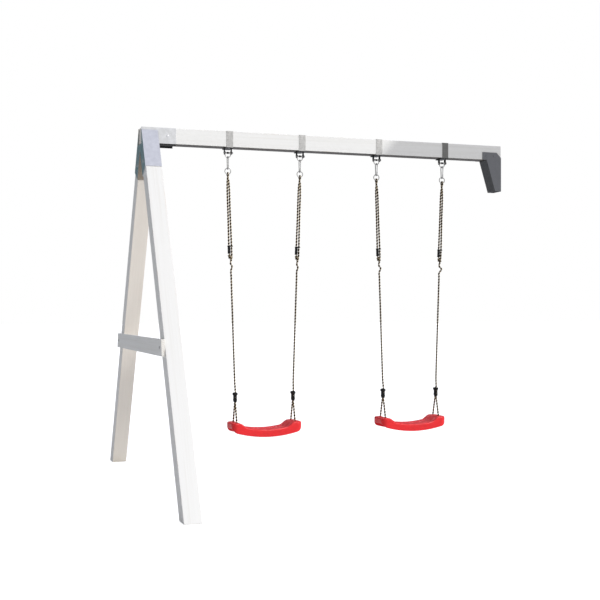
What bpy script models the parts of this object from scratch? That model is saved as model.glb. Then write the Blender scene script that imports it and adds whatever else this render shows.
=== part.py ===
"""A two-seat timber swing: one A-frame, a beam and two rope-hung seats.

The far end of the beam is carried by a play tower, through a steel bracket.
Units are metres, +Z is up and the beam runs along X. The origin lies on the
ground, at the middle of the whole set's bounding box.
"""

import math

import bmesh
import bpy
from mathutils import Matrix, Vector

# ---- driving dimensions ----
GAP = 0.0003  # left between pieces that touch

# timber frame
TIMBER = 0.090
BEAM_LENGTH = 2.280
BEAM_TOP = 2.035
LEG_SPREAD = 2.248  # over the legs' outer faces, at the ground
KNEE_HEIGHT = 2.020  # where a leg's outer face would meet the beam's side
EDGE_ROUND = 0.003
TIE_CENTRE = 0.812
TIE_HEIGHT = 0.087
TIE_THICKNESS = 0.019
TIE_SLANT = 0.016  # of each end, over the tie's height

# steel brackets
SHEET = 0.003
CORNER_REACH = 0.195  # along the beam
CORNER_FLAP_LOW = 1.800
CORNER_TOE_LOW = 1.750
CORNER_TOE_TOP = 1.885
CORNER_SHOULDER = 0.004  # the flange's inner corner, below the beam
TOWER_TOP = 1.9925
TOWER_LOW = 1.749
TOWER_REACH = 0.131
TOWER_WEB_TOP = 0.102
TOWER_WEB_LOW = 0.043
TOWER_CHAMFER = 0.032

# fasteners
BOLT_RADIUS = 0.004
BOLT_CLEARANCE = 0.0046
HEAD_RADIUS = 0.009
HEAD_HEIGHT = 0.004
CROSS_HEAD_RADIUS = 0.0075
HANGER_HEAD_RADIUS = 0.0065
LEG_BOLT_PROUD = 0.011  # thread beyond the last face, where the nut sits
CROSS_BOLT_PROUD = 0.009
CORNER_BOLT_ALONG = 0.145  # from the beam's free end
CORNER_BOLT_UP = 0.035  # from the flap's lower edge
TOWER_BOLTS_ALONG = (0.105, 0.050)  # from the beam's far end
TOWER_BOLT_UP = 0.024

# hangers
SWING_CENTRES = (0.7325, 1.6690)  # along the beam, from its free end
HANGER_SPACING = 0.443
STRAP_WIDTH = 0.040
STRAP_THICKNESS = 0.002
STRAP_FOOT = 0.022
PIN_HEIGHT = 1.917
CHEEK_OUTSIDE = 0.044
CHEEK_WIDTH = 0.024
CHEEK_DROP = 0.011  # below the pin
BUSH_RADIUS = 0.0065
BUSH_LENGTH = 0.010
BOW_WIRE = 0.0025
BOW_HALF_WIDTH = 0.016
BOW_DROP = 0.0275
EYE_RADIUS = 0.008
EYE_WIDTH = 0.005

# snap hook and ring, below the pin
HOOK_WIRE = 0.003
HOOK_TOP_RADIUS = 0.014
HOOK_LOW_RADIUS = 0.010
GATE_WIRE = 0.0025
GATE_TOP = -0.0435
GATE_LOW = -0.0765
RING_WIRE = 0.0025
RING_RADIUS = 0.0175

# rope
ROPE_RADIUS = 0.006
STRAIGHT_ENOUGH = 0.0007  # how far the bar's line may be from the rope's own
TOUCHING = 0.0063  # of each strand from the rope's line, above the adjuster
PAIR_OFFSET = 0.0077  # of each strand from the rope's line, at the adjuster
KNOT_HEIGHT = 1.309
KNOT_SIZE = (0.0125, 0.0100, 0.0190)  # half its size each way
KNOT_PLACE = (-0.004, -0.0125)
KINKS = (0.007, 0.006, 0.010, 0.015)  # how far each rope bends out below its knot
ADJUSTER_LOW = 1.331
ADJUSTER_TOP = 1.378
ADJUSTER_BODY = 0.0080
ADJUSTER_FLANGE = 0.0091
ADJUSTER_EYE = 0.0086
ADJUSTER_BORE = 0.0067
CLIP_LOW = 0.465
CLIP_TOP = 0.520
CLIP_OFFSET = 0.0065
CLIP_BODY = 0.0094
CLIP_FLANGE = 0.0132
CLIP_BORE = 0.0069

# seat
SEAT_LENGTH = 0.425
SEAT_DEPTH = 0.160
SEAT_CORNER = 0.034
SEAT_WALL = 0.004
SEAT_RIM = 0.316  # the top where a raised end begins
SEAT_EAR = 0.3465
SEAT_BOTTOM = 0.263
SEAT_END_RISE = 0.033
SEAT_END_ROUND = 0.030  # where the lower edge turns up at an end
SEAT_END_DROP = 0.006  # of the top, at the very end
SEAT_DISH = 0.007
EAR_INNER = 0.110
EAR_OUTER = 0.170
STRAND_X = 0.178  # of the rope holes, from the seat's middle
STRAND_Y = 0.039
HOLE_RADIUS = 0.008
SEAT_SAG = 0.010
SEAT_LIP = 0.008  # the rounding between the top and the sides

# ---- values that follow ----
HALF = TIMBER / 2
BEAM_LOW = BEAM_TOP - TIMBER
LEAN = math.atan2(LEG_SPREAD / 2 - HALF, KNEE_HEIGHT)
SLOPE = math.tan(LEAN)
LEG_RUN = TIMBER / math.cos(LEAN)  # a leg's level width
STANDS_OUT = GAP + TIE_THICKNESS + HEAD_HEIGHT  # beyond the beam's free end
BEAM_START = (STANDS_OUT - BEAM_LENGTH) / 2
BEAM_END = BEAM_START + BEAM_LENGTH
FACE = HALF + GAP
HANGER_PLATE_TOP = BEAM_LOW - GAP - STRAP_THICKNESS - GAP
BOW_BOTTOM = -BOW_DROP
HOOK_TOP = BOW_BOTTOM + BOW_WIRE + HOOK_WIRE + GAP
RING_CENTRE = -0.107
RING_TOP = RING_CENTRE + RING_RADIUS
RING_LOW = RING_CENTRE - RING_RADIUS
HOOK_LOW = RING_TOP - RING_WIRE - HOOK_WIRE - GAP
BIGHT_RADIUS = RING_WIRE + ROPE_RADIUS + GAP
INWARD = HANGER_SPACING / 2 - STRAND_X  # a rope's sideways lean


# ---- materials ----
def material(name, colour, roughness, metallic=0.0):
    made = bpy.data.materials.new(name)
    made.use_nodes = True
    shader = made.node_tree.nodes["Principled BSDF"]
    shader.inputs["Base Color"].default_value = (*colour, 1.0)
    shader.inputs["Roughness"].default_value = roughness
    shader.inputs["Metallic"].default_value = metallic
    made.diffuse_color = (*colour, 1.0)
    return made


# ---- mesh helpers ----
def mesh_of(build, name):
    """A mesh from a bmesh whose faces are turned outwards."""
    bmesh.ops.recalc_face_normals(build, faces=build.faces[:])
    mesh = bpy.data.meshes.new(name)
    build.to_mesh(mesh)
    build.free()
    return mesh


def rounded(mesh):
    mesh.shade_smooth()
    mesh.set_sharp_from_angle(angle=math.radians(35))
    return mesh


def place(name, mesh, look, location=(0, 0, 0), parent=None):
    """An object in the scene, its location measured from its parent."""
    made = bpy.data.objects.new(name, mesh)
    made.location = location
    made.parent = parent
    bpy.context.scene.collection.objects.link(made)
    if look and not mesh.materials:
        mesh.materials.append(look)
    return made


def baked(base, others, operation, name):
    """The mesh that a Boolean of the base with each other mesh leaves."""
    body = place(name, base, None)
    tools = [place(f"{name}_tool", other, None) for other in others]
    for tool in tools:
        cut = body.modifiers.new("shape", "BOOLEAN")
        cut.operation = operation
        cut.solver = "EXACT"
        cut.object = tool
    bpy.context.view_layer.update()
    shaped = body.evaluated_get(bpy.context.evaluated_depsgraph_get())
    mesh = bpy.data.meshes.new_from_object(shaped)
    mesh.name = name
    for used in [body, *tools]:
        bpy.data.objects.remove(used)
    return mesh


def prism(outline, axis, start, end):
    """A solid with a flat outline, extruded along X, Y or Z.

    The outline's two numbers are the other two coordinates, in X, Y, Z order.
    """
    build = bmesh.new()
    corners = []
    for first, second in outline:
        spot = [first, second]
        spot.insert(axis, start)
        corners.append(build.verts.new(spot))
    face = build.faces.new(corners)
    grown = bmesh.ops.extrude_face_region(build, geom=[face])["geom"]
    push = Vector([end - start if k == axis else 0.0 for k in range(3)])
    moved = [item for item in grown if isinstance(item, bmesh.types.BMVert)]
    bmesh.ops.translate(build, verts=moved, vec=push)
    return mesh_of(build, "prism")


def block(low, high):
    outline = [(low[0], low[1]), (high[0], low[1]), (high[0], high[1]), (low[0], high[1])]
    return prism(outline, 2, low[2], high[2])


def circle(radius, sides, centre=(0.0, 0.0)):
    steps = [math.tau * (k + 0.5) / sides for k in range(sides)]
    return [
        (centre[0] + radius * math.cos(turn), centre[1] + radius * math.sin(turn))
        for turn in steps
    ]


def rod(radius, axis, start, end, centre=(0.0, 0.0), sides=12):
    return prism(circle(radius, sides, centre), axis, start, end)


def moved(mesh, x=0.0, y=0.0, z=0.0):
    mesh.transform(Matrix.Translation((x, y, z)))
    return mesh


def softened(mesh, width, name):
    """The mesh with its long edges rounded over."""
    build = bmesh.new()
    build.from_mesh(mesh)
    bmesh.ops.bevel(
        build, geom=build.edges[:], offset=width, segments=2, affect="EDGES", profile=0.5
    )
    made = mesh_of(build, name)
    return rounded(made)


def loft(loops, name):
    """A closed solid through loops of equally many points, with flat ends."""
    build = bmesh.new()
    rings = [[build.verts.new(spot) for spot in loop] for loop in loops]
    for near, far in zip(rings, rings[1:]):
        for k in range(len(near)):
            after = (k + 1) % len(near)
            build.faces.new((near[k], near[after], far[after], far[k]))
    build.faces.new(rings[0])
    build.faces.new(rings[-1])
    return mesh_of(build, name)


def wire(points, radius, name, resolution=2):
    """A round bar along points, with flat ends."""
    curve = bpy.data.curves.new(name, "CURVE")
    curve.dimensions = "3D"
    curve.bevel_depth = radius
    curve.bevel_resolution = resolution
    curve.use_fill_caps = True
    spline = curve.splines.new("POLY")
    spline.points.add(len(points) - 1)
    for spot, put in zip(points, spline.points):
        put.co = (*spot, 1.0)
    carrier = bpy.data.objects.new(name, curve)
    bpy.context.scene.collection.objects.link(carrier)
    bpy.context.view_layer.update()
    shaped = carrier.evaluated_get(bpy.context.evaluated_depsgraph_get())
    mesh = bpy.data.meshes.new_from_object(shaped)
    bpy.data.objects.remove(carrier)
    build = bmesh.new()
    build.from_mesh(mesh)
    bmesh.ops.remove_doubles(build, verts=build.verts[:], dist=0.00001)
    return rounded(mesh_of(build, name))


def arc(centre, radius, start, end, steps):
    """Points on an arc in the Y-Z plane, by angles in degrees from +Y."""
    turns = [math.radians(start + (end - start) * k / steps) for k in range(steps + 1)]
    return [
        (0.0, centre[0] + radius * math.cos(turn), centre[1] + radius * math.sin(turn))
        for turn in turns
    ]


def smooth(route, samples=8):
    """A Catmull-Rom curve through the route's points."""
    spots = [Vector(spot) for spot in route]
    ends = [2 * spots[0] - spots[1], *spots, 2 * spots[-1] - spots[-2]]
    line = []
    for a, b, c, d in zip(ends, ends[1:], ends[2:], ends[3:]):
        knots = [0.0]
        for p, q in ((a, b), (b, c), (c, d)):
            knots.append(knots[-1] + math.sqrt((q - p).length))
        for k in range(samples):
            t = knots[1] + (knots[2] - knots[1]) * k / samples
            ab = a.lerp(b, (t - knots[0]) / (knots[1] - knots[0]))
            bc = b.lerp(c, (t - knots[1]) / (knots[2] - knots[1]))
            cd = c.lerp(d, (t - knots[2]) / (knots[3] - knots[2]))
            left = ab.lerp(bc, (t - knots[0]) / (knots[2] - knots[0]))
            right = bc.lerp(cd, (t - knots[1]) / (knots[3] - knots[1]))
            line.append(left.lerp(right, (t - knots[1]) / (knots[2] - knots[1])))
    return [*line, spots[-1]]


def thinned(line, within):
    """The line's own points, without those that a straight run can do without."""
    if len(line) < 3:
        return line
    run = line[-1] - line[0]
    unit = run.normalized()
    away = [((spot - line[0]) - unit * (spot - line[0]).dot(unit)).length for spot in line]
    far = max(range(len(line)), key=away.__getitem__)
    if away[far] <= within:
        return [line[0], line[-1]]
    return thinned(line[: far + 1], within)[:-1] + thinned(line[far:], within)


# ---- timber frame ----
def leg_outer(height):
    """How far a leg's outer face is from the middle plane."""
    return HALF + (KNEE_HEIGHT - height) * SLOPE


def leg_inner(height):
    return leg_outer(height) - LEG_RUN


def leg_mesh(side):
    top = BEAM_LOW - GAP
    meet = KNEE_HEIGHT - (LEG_RUN - HALF + GAP) / SLOPE
    outline = [
        (side * leg_outer(0), 0),
        (side * leg_outer(top), top),
        (side * GAP, top),
        (side * GAP, meet),
        (side * leg_inner(0), 0),
    ]
    body = softened(prism(outline, 0, BEAM_START, BEAM_START + TIMBER), EDGE_ROUND, "leg")
    holes = []
    for across, height in (tie_bolt_spot(side), corner_bolt_spot(side)):
        spot = (across, height)
        holes.append(rod(BOLT_CLEARANCE, 0, BEAM_START - TIMBER, BEAM_START + 2 * TIMBER, spot))
    return baked(body, holes, "DIFFERENCE", "leg")


def tie_bolt_spot(side):
    return side * (leg_outer(TIE_CENTRE) - LEG_RUN / 2), TIE_CENTRE


def corner_bolt_spot(side):
    height = CORNER_FLAP_LOW + CORNER_BOLT_UP
    return side * (leg_outer(height) - LEG_RUN / 2), height


def beam_bolts():
    """Places along X, and heights, of the bolts that cross the beam."""
    near, far = TOWER_BOLTS_ALONG
    return {
        "corner_beam_bolt": (BEAM_START + CORNER_BOLT_ALONG, BEAM_TOP - HALF),
        "tower_bolt_near": (BEAM_END - near, BEAM_LOW + TOWER_BOLT_UP),
        "tower_bolt_far": (BEAM_END - far, BEAM_LOW + TOWER_BOLT_UP),
    }


def beam_mesh():
    low = (BEAM_START, -HALF, BEAM_LOW)
    high = (BEAM_END, HALF, BEAM_TOP)
    body = softened(block(low, high), EDGE_ROUND, "beam")
    holes = []
    for spot in beam_bolts().values():
        holes.append(rod(BOLT_CLEARANCE, 1, -TIMBER, TIMBER, spot))
    return baked(body, holes, "DIFFERENCE", "beam")


def tie_mesh():
    half_length = leg_outer(TIE_CENTRE)
    near = BEAM_START - GAP - TIE_THICKNESS
    low, high = TIE_CENTRE - TIE_HEIGHT / 2, TIE_CENTRE + TIE_HEIGHT / 2
    long, short = half_length + TIE_SLANT / 2, half_length - TIE_SLANT / 2
    outline = [(-long, low), (long, low), (short, high), (-short, high)]
    body = softened(prism(outline, 0, near, BEAM_START - GAP), EDGE_ROUND / 2, "tie")
    holes = []
    for side in (-1, 1):
        spot = tie_bolt_spot(side)
        holes.append(rod(BOLT_CLEARANCE, 0, near - TIMBER, BEAM_START + TIMBER, spot))
    return baked(body, holes, "DIFFERENCE", "tie")


# ---- steel brackets ----
def corner_mesh(side):
    """Half of the corner bracket: a beam cheek, and a channel round one leg."""
    beam_outer = FACE + SHEET
    cheek = [
        (BEAM_START, BEAM_TOP),
        (BEAM_START + CORNER_REACH, BEAM_TOP),
        (BEAM_START + CORNER_REACH, BEAM_LOW),
        (BEAM_START + TIMBER - SHEET, BEAM_LOW),
        (BEAM_START + TIMBER - SHEET, KNEE_HEIGHT - SHEET),
        (BEAM_START, KNEE_HEIGHT - SHEET),
    ]
    faces = sorted((side * FACE, side * beam_outer))
    plates = [prism(cheek, 1, *faces)]
    skin = SHEET / math.cos(LEAN)
    off = GAP / math.cos(LEAN)
    low = CORNER_FLAP_LOW
    flap = [
        (side * (leg_outer(KNEE_HEIGHT) + off), KNEE_HEIGHT),
        (side * (leg_outer(KNEE_HEIGHT) + off + skin), KNEE_HEIGHT),
        (side * (leg_outer(low) + off + skin), low),
        (side * (leg_outer(low) + off), low),
    ]
    plates.append(prism(flap, 0, BEAM_START - GAP - SHEET, BEAM_START + TIMBER))
    shoulder = BEAM_LOW - CORNER_SHOULDER
    flange = [
        (side * FACE, BEAM_TOP),
        (side * beam_outer, BEAM_TOP),
        (side * (leg_outer(KNEE_HEIGHT) + off + skin), KNEE_HEIGHT),
        (side * (leg_outer(low) + off + skin), low),
        (side * (leg_inner(CORNER_TOE_LOW) - off - skin), CORNER_TOE_LOW),
        (side * GAP, KNEE_HEIGHT - (LEG_RUN - HALF + off + skin) / SLOPE),
        (side * GAP, shoulder),
        (side * FACE, shoulder),
    ]
    plates.append(prism(flange, 0, BEAM_START - GAP - SHEET, BEAM_START - GAP))
    toe = [
        (side * (leg_inner(CORNER_TOE_TOP) - off), CORNER_TOE_TOP),
        (side * (leg_inner(CORNER_TOE_TOP) - off - skin), CORNER_TOE_TOP),
        (side * (leg_inner(CORNER_TOE_LOW) - off - skin), CORNER_TOE_LOW),
        (side * (leg_inner(CORNER_TOE_LOW) - off), CORNER_TOE_LOW),
    ]
    plates.append(prism(toe, 0, BEAM_START - GAP - SHEET / 2, BEAM_START + TIMBER))
    body = baked(plates[0], plates[1:], "UNION", "corner")
    holes = [rod(BOLT_CLEARANCE, 1, -TIMBER, TIMBER, beam_bolts()["corner_beam_bolt"])]
    spot = corner_bolt_spot(side)
    holes.append(rod(BOLT_CLEARANCE, 0, BEAM_START - HALF, BEAM_START + HALF, spot))
    return baked(body, holes, "DIFFERENCE", "corner")


def tower_mesh():
    """A box bracket: two cheeks on the beam, a slanted web and an end plate."""
    outer = FACE + SHEET
    cheek = [
        (BEAM_END - TOWER_REACH, BEAM_LOW),
        (BEAM_END - TOWER_REACH, TOWER_TOP),
        (BEAM_END - TOWER_CHAMFER, TOWER_TOP),
        (BEAM_END, TOWER_TOP - TOWER_CHAMFER),
        (BEAM_END, TOWER_LOW),
        (BEAM_END - TOWER_WEB_LOW, TOWER_LOW),
        (BEAM_END - TOWER_WEB_TOP, BEAM_LOW),
    ]
    web = [
        (BEAM_END - TOWER_WEB_TOP, BEAM_LOW - GAP),
        (BEAM_END - TOWER_WEB_TOP + SHEET, BEAM_LOW - GAP),
        (BEAM_END - TOWER_WEB_LOW + SHEET, TOWER_LOW),
        (BEAM_END - TOWER_WEB_LOW, TOWER_LOW),
    ]
    inset = SHEET / 2
    plates = [
        prism(cheek, 1, FACE, outer),
        prism(cheek, 1, -outer, -FACE),
        prism(web, 1, -FACE - inset, FACE + inset),
        block((BEAM_END - SHEET, -FACE - inset, TOWER_LOW), (BEAM_END, FACE + inset, BEAM_LOW - GAP)),
        block(
            (BEAM_END - TOWER_WEB_TOP, -FACE - inset, BEAM_LOW - GAP - SHEET),
            (BEAM_END, FACE + inset, BEAM_LOW - GAP),
        ),
    ]
    body = baked(plates[0], plates[1:], "UNION", "tower")
    holes = []
    for name, spot in beam_bolts().items():
        if name.startswith("tower"):
            holes.append(rod(BOLT_CLEARANCE, 1, -TIMBER, TIMBER, spot))
    return baked(body, holes, "DIFFERENCE", "tower")


# ---- fasteners ----
def bolt_mesh(length, name, head=HEAD_RADIUS):
    """A low round-headed bolt along +X: its head ends at 0 and its shank at length."""
    profile = [
        (-HEAD_HEIGHT, head * 0.5),
        (-HEAD_HEIGHT * 0.7, head * 0.85),
        (-GAP / 2, head),
        (-GAP / 2, BOLT_RADIUS),
        (length, BOLT_RADIUS),
    ]
    loops = []
    for along, radius in profile:
        loops.append([(along, y, z) for y, z in circle(radius, 10)])
    return rounded(loft(loops, name))


# ---- hangers ----
def strap_mesh():
    inner, outer = FACE, FACE + STRAP_THICKNESS
    top, foot = BEAM_TOP + GAP, BEAM_LOW - GAP
    toe = HALF - STRAP_FOOT
    outline = [
        (toe, foot - STRAP_THICKNESS),
        (outer, foot - STRAP_THICKNESS),
        (outer, top + STRAP_THICKNESS),
        (-outer, top + STRAP_THICKNESS),
        (-outer, foot - STRAP_THICKNESS),
        (-toe, foot - STRAP_THICKNESS),
        (-toe, foot),
        (-inner, foot),
        (-inner, top),
        (inner, top),
        (inner, foot),
        (toe, foot),
    ]
    band = prism(outline, 0, -STRAP_WIDTH / 2, STRAP_WIDTH / 2)
    return moved(band, z=-PIN_HEIGHT)


def hanger_bracket_mesh():
    """A plate under the beam with two cheeks that carry the pin."""
    top = HANGER_PLATE_TOP - PIN_HEIGHT
    half = CHEEK_OUTSIDE / 2
    reach = CHEEK_WIDTH / 2
    plate = block((-half, -HALF, top - SHEET), (half, HALF, top))
    lobe = [(reach, top - SHEET / 2)]
    for k in range(7):
        turn = math.pi * k / 6
        lobe.append((reach * math.cos(turn), -CHEEK_DROP * math.sin(turn)))
    lobe.append((-reach, top - SHEET / 2))
    cheeks = [
        prism(lobe, 0, half - SHEET, half),
        prism(lobe, 0, -half, SHEET - half),
    ]
    body = baked(plate, cheeks, "UNION", "hanger_bracket")
    hole = rod(BOLT_CLEARANCE, 0, -CHEEK_OUTSIDE, CHEEK_OUTSIDE)
    return baked(body, [hole], "DIFFERENCE", "hanger_bracket")


def hanger_bolt_mesh():
    length = CHEEK_OUTSIDE + 2 * GAP
    bolt = bolt_mesh(length + CROSS_BOLT_PROUD, "hanger_bolt", HANGER_HEAD_RADIUS)
    return moved(bolt, x=-length / 2)


def bush_mesh():
    half = BUSH_LENGTH / 2
    body = rod(BUSH_RADIUS, 0, -half, half)
    bore = rod(BOLT_CLEARANCE, 0, -BUSH_LENGTH, BUSH_LENGTH)
    return rounded(baked(body, [bore], "DIFFERENCE", "bush"))


def bow_mesh():
    """A stirrup: two eyes on the pin, joined by a bent bar below."""
    turn_height = BOW_BOTTOM + BOW_HALF_WIDTH
    bend = []
    for k in range(9):
        turn = math.pi * k / 8
        side = -BOW_HALF_WIDTH * math.cos(turn)
        bend.append((side, 0.0, turn_height - BOW_HALF_WIDTH * math.sin(turn)))
    start = -(EYE_RADIUS + BOLT_CLEARANCE) / 2
    points = [(-BOW_HALF_WIDTH, 0.0, start), *bend, (BOW_HALF_WIDTH, 0.0, start)]
    body = wire(points, BOW_WIRE, "bow")
    eyes, bores = [], []
    for side in (-1, 1):
        near = side * BOW_HALF_WIDTH - EYE_WIDTH / 2
        eyes.append(rod(EYE_RADIUS, 0, near, near + EYE_WIDTH))
        bores.append(rod(BOLT_CLEARANCE, 0, near - EYE_WIDTH, near + 2 * EYE_WIDTH))
    body = baked(body, eyes, "UNION", "bow")
    return rounded(baked(body, bores, "DIFFERENCE", "bow"))


def hook_sides():
    """Centres of the hook's two bends, and the gate's two ends."""
    upper = HOOK_TOP - HOOK_TOP_RADIUS
    lower = HOOK_LOW + HOOK_LOW_RADIUS

    def across(height):
        share = (upper - height) / (upper - lower)
        return -(HOOK_TOP_RADIUS + (HOOK_LOW_RADIUS - HOOK_TOP_RADIUS) * share)

    return upper, lower, across


def hook_mesh():
    """An open loop in the Y-Z plane, with its opening on the -Y side."""
    upper, lower, across = hook_sides()
    nose = GATE_TOP + 2 * GAP
    root = GATE_LOW - 4 * GAP
    points = [
        (0.0, across(nose), nose),
        *arc((0.0, upper), HOOK_TOP_RADIUS, 180, 0, 8),
        *arc((0.0, lower), HOOK_LOW_RADIUS, 0, -180, 8),
        (0.0, across(root), root),
    ]
    return wire(points, HOOK_WIRE, "hook")


def gate_mesh():
    """The gate's bar, from its pivot at the mesh's origin up to the nose."""
    _, _, across = hook_sides()
    top = Vector((0.0, across(GATE_TOP), GATE_TOP))
    low = Vector((0.0, across(GATE_LOW), GATE_LOW))
    return wire([Vector(), top - low], GATE_WIRE, "gate"), low


def ring_mesh():
    build = bmesh.new()
    turns = [math.tau * k / 18 for k in range(18)]
    rings = []
    for turn in turns:
        ring = []
        for side, up in circle(RING_WIRE, 8):
            reach = RING_RADIUS + side
            ring.append(build.verts.new((reach * math.cos(turn), up, reach * math.sin(turn))))
        rings.append(ring)
    for near, far in zip(rings, rings[1:] + rings[:1]):
        for k in range(8):
            after = (k + 1) % 8
            build.faces.new((near[k], near[after], far[after], far[k]))
    return moved(rounded(mesh_of(build, "ring")), z=RING_CENTRE)


# ---- rope and its fittings ----
def rope_line(height, inward):
    """The rope's sideways place at a height, from its hanger's pin."""
    top = PIN_HEIGHT + RING_LOW
    share = (top - height) / (top - CLIP_TOP)
    return inward * min(max(share, 0.0), 1.0)


def rope_route(inward, kink):
    """The rope's middle line, from its knotted end to the end in the clip."""

    def at(height, aside=0.0, across=0.0):
        return (rope_line(height, inward) + aside, across, height - PIN_HEIGHT)

    bend = PIN_HEIGHT + RING_LOW
    up = [
        at(KNOT_HEIGHT, -0.004, -0.009),
        at(ADJUSTER_LOW - 0.004, -PAIR_OFFSET, -0.0008),
        at(ADJUSTER_LOW + 0.010, -PAIR_OFFSET),
        at(ADJUSTER_TOP - 0.010, -PAIR_OFFSET),
        at(ADJUSTER_TOP + 0.020, -PAIR_OFFSET),
        at(1.560, -TOUCHING),
        at(bend - 0.080, -TOUCHING, -0.0012),
        at(bend - 0.035, -0.0050, -0.0060),
        at(bend - 0.014, -0.0010, -BIGHT_RADIUS),
    ]
    over = arc((0.0, RING_LOW), BIGHT_RADIUS, 180, 0, 8)
    down = [
        at(bend - 0.014, 0.0010, BIGHT_RADIUS),
        at(bend - 0.035, 0.0050, 0.0060),
        at(bend - 0.080, TOUCHING, 0.0012),
        at(1.560, TOUCHING),
        at(ADJUSTER_TOP + 0.020, PAIR_OFFSET),
        at(ADJUSTER_TOP - 0.010, PAIR_OFFSET),
        at(ADJUSTER_LOW + 0.010, PAIR_OFFSET),
        at(KNOT_HEIGHT + 0.010, PAIR_OFFSET + 0.0010, 0.0045),
        at(KNOT_HEIGHT - 0.010, PAIR_OFFSET - 0.0010, 0.0050),
        at(KNOT_HEIGHT - 0.033, -0.0010, 0.0010),
        at(KNOT_HEIGHT - 0.055, kink),
        at(KNOT_HEIGHT - 0.077),
        at(KNOT_HEIGHT - 0.110),
        at(CLIP_TOP + 0.110),
        at(CLIP_TOP + 0.060, 0.0, -0.0010),
        at(CLIP_TOP + 0.014, 0.0, -CLIP_OFFSET),
        at(CLIP_TOP - 0.012, 0.0, -CLIP_OFFSET),
        at(CLIP_LOW + 0.010, 0.0, -CLIP_OFFSET),
        at(CLIP_LOW - 0.004, 0.0, -CLIP_OFFSET - 0.0005),
        at(CLIP_LOW - 0.024, 0.0, -0.0132),
    ]
    plate = SEAT_EAR - SEAT_WALL
    under = [
        at(SEAT_EAR + 0.020, 0.0, -STRAND_Y + 0.0050),
        at(plate + 0.002, 0.0, -STRAND_Y),
        at(plate - 0.011, 0.0, -STRAND_Y + 0.0045),
        at(plate - 0.016, 0.0, -STRAND_Y + 0.0170),
        at(plate - 0.015, 0.0, 0.0),
    ]
    back = [(x, -y, z) for x, y, z in reversed(under[:-1])]
    rise = [
        at(CLIP_LOW - 0.024, 0.0, 0.0132),
        at(CLIP_LOW - 0.004, 0.0, CLIP_OFFSET + 0.0005),
        at(CLIP_LOW + 0.010, 0.0, CLIP_OFFSET),
        at(CLIP_TOP - 0.008, 0.0, CLIP_OFFSET),
    ]
    return [*up, *over, *down, *under, *back, *rise]


def rope_mesh(inward, kink):
    """The rope as a plain round bar, with a lump where its end is knotted."""
    line = thinned(smooth(rope_route(inward, kink)), STRAIGHT_ENOUGH)
    bar = wire(line, ROPE_RADIUS, "rope")
    build = bmesh.new()
    bmesh.ops.create_uvsphere(build, u_segments=10, v_segments=6, radius=1.0)
    lump = mesh_of(build, "knot")
    lump.transform(Matrix.Diagonal((*KNOT_SIZE, 1.0)))
    aside, across = KNOT_PLACE
    moved(lump, rope_line(KNOT_HEIGHT, inward) + aside, across, KNOT_HEIGHT - PIN_HEIGHT)
    return rounded(baked(bar, [lump], "UNION", "rope"))


def stack(profile, spread, axis, name, sides=12):
    """Round-ended layers, one above the other: each is a height and a radius."""
    loops = []
    for height, radius in profile:
        loop = [[x, y, height] for x, y in circle(radius, sides)]
        for spot in loop:
            spot[axis] += math.copysign(spread, spot[axis])
        loops.append(loop)
    return loft(loops, name)


def adjuster_mesh():
    """A flanged sleeve on the free strand, with an eye round the main one."""
    height = ADJUSTER_TOP - ADJUSTER_LOW
    profile = [
        (0.0, ADJUSTER_FLANGE),
        (0.005, ADJUSTER_FLANGE),
        (0.006, ADJUSTER_BODY),
        (0.012, ADJUSTER_BODY),
        (0.0125, ADJUSTER_EYE),
        (0.0155, ADJUSTER_EYE),
        (0.016, ADJUSTER_BODY),
        (height - 0.008, ADJUSTER_BODY),
        (height - 0.007, ADJUSTER_FLANGE),
        (height, ADJUSTER_FLANGE),
    ]
    sleeve = moved(stack(profile, 0.0, 0, "sleeve"), x=-PAIR_OFFSET)
    eye = rod(ADJUSTER_EYE, 2, height - 0.0065, height - 0.0015, (PAIR_OFFSET, 0.0))
    body = baked(sleeve, [eye], "UNION", "adjuster")
    bores = []
    for side in (-1, 1):
        bores.append(rod(ADJUSTER_BORE, 2, -height, 2 * height, (side * PAIR_OFFSET, 0.0)))
    return rounded(baked(body, bores, "DIFFERENCE", "adjuster"))


def clip_mesh():
    """A two-hole clamp: flanged at the top, tapered towards its lower end."""
    height = CLIP_TOP - CLIP_LOW
    profile = [
        (0.0, 0.0080),
        (0.010, 0.0098),
        (0.011, 0.0108),
        (0.016, 0.0108),
        (0.017, CLIP_BODY),
        (height - 0.017, CLIP_BODY),
        (height - 0.014, 0.0126),
        (height - 0.006, CLIP_FLANGE),
        (height, 0.0100),
    ]
    body = stack(profile, CLIP_OFFSET, 1, "clip")
    bores = []
    for side in (-1, 1):
        bores.append(rod(CLIP_BORE, 2, -height, 2 * height, (0.0, side * CLIP_OFFSET)))
    return rounded(baked(body, bores, "DIFFERENCE", "clip"))


# ---- seat ----
def ramp(value, low, high):
    share = min(max((value - low) / (high - low), 0.0), 1.0)
    return share * share * (3 - 2 * share)


def seat_top(x):
    sag = SEAT_SAG * (1 - (x / EAR_INNER) ** 2) if abs(x) < EAR_INNER else 0.0
    return SEAT_RIM - sag + (SEAT_EAR - SEAT_RIM) * ramp(abs(x), EAR_INNER, EAR_OUTER)


def seat_low(x):
    """The seat's lower edge: a shallow arc that turns up at each end."""
    half = SEAT_LENGTH / 2
    past = max(abs(x) - (half - SEAT_END_ROUND), 0.0)
    turn_up = SEAT_END_ROUND - math.sqrt(SEAT_END_ROUND**2 - past**2)
    return SEAT_BOTTOM + SEAT_END_RISE * (x / half) ** 2 + turn_up


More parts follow.
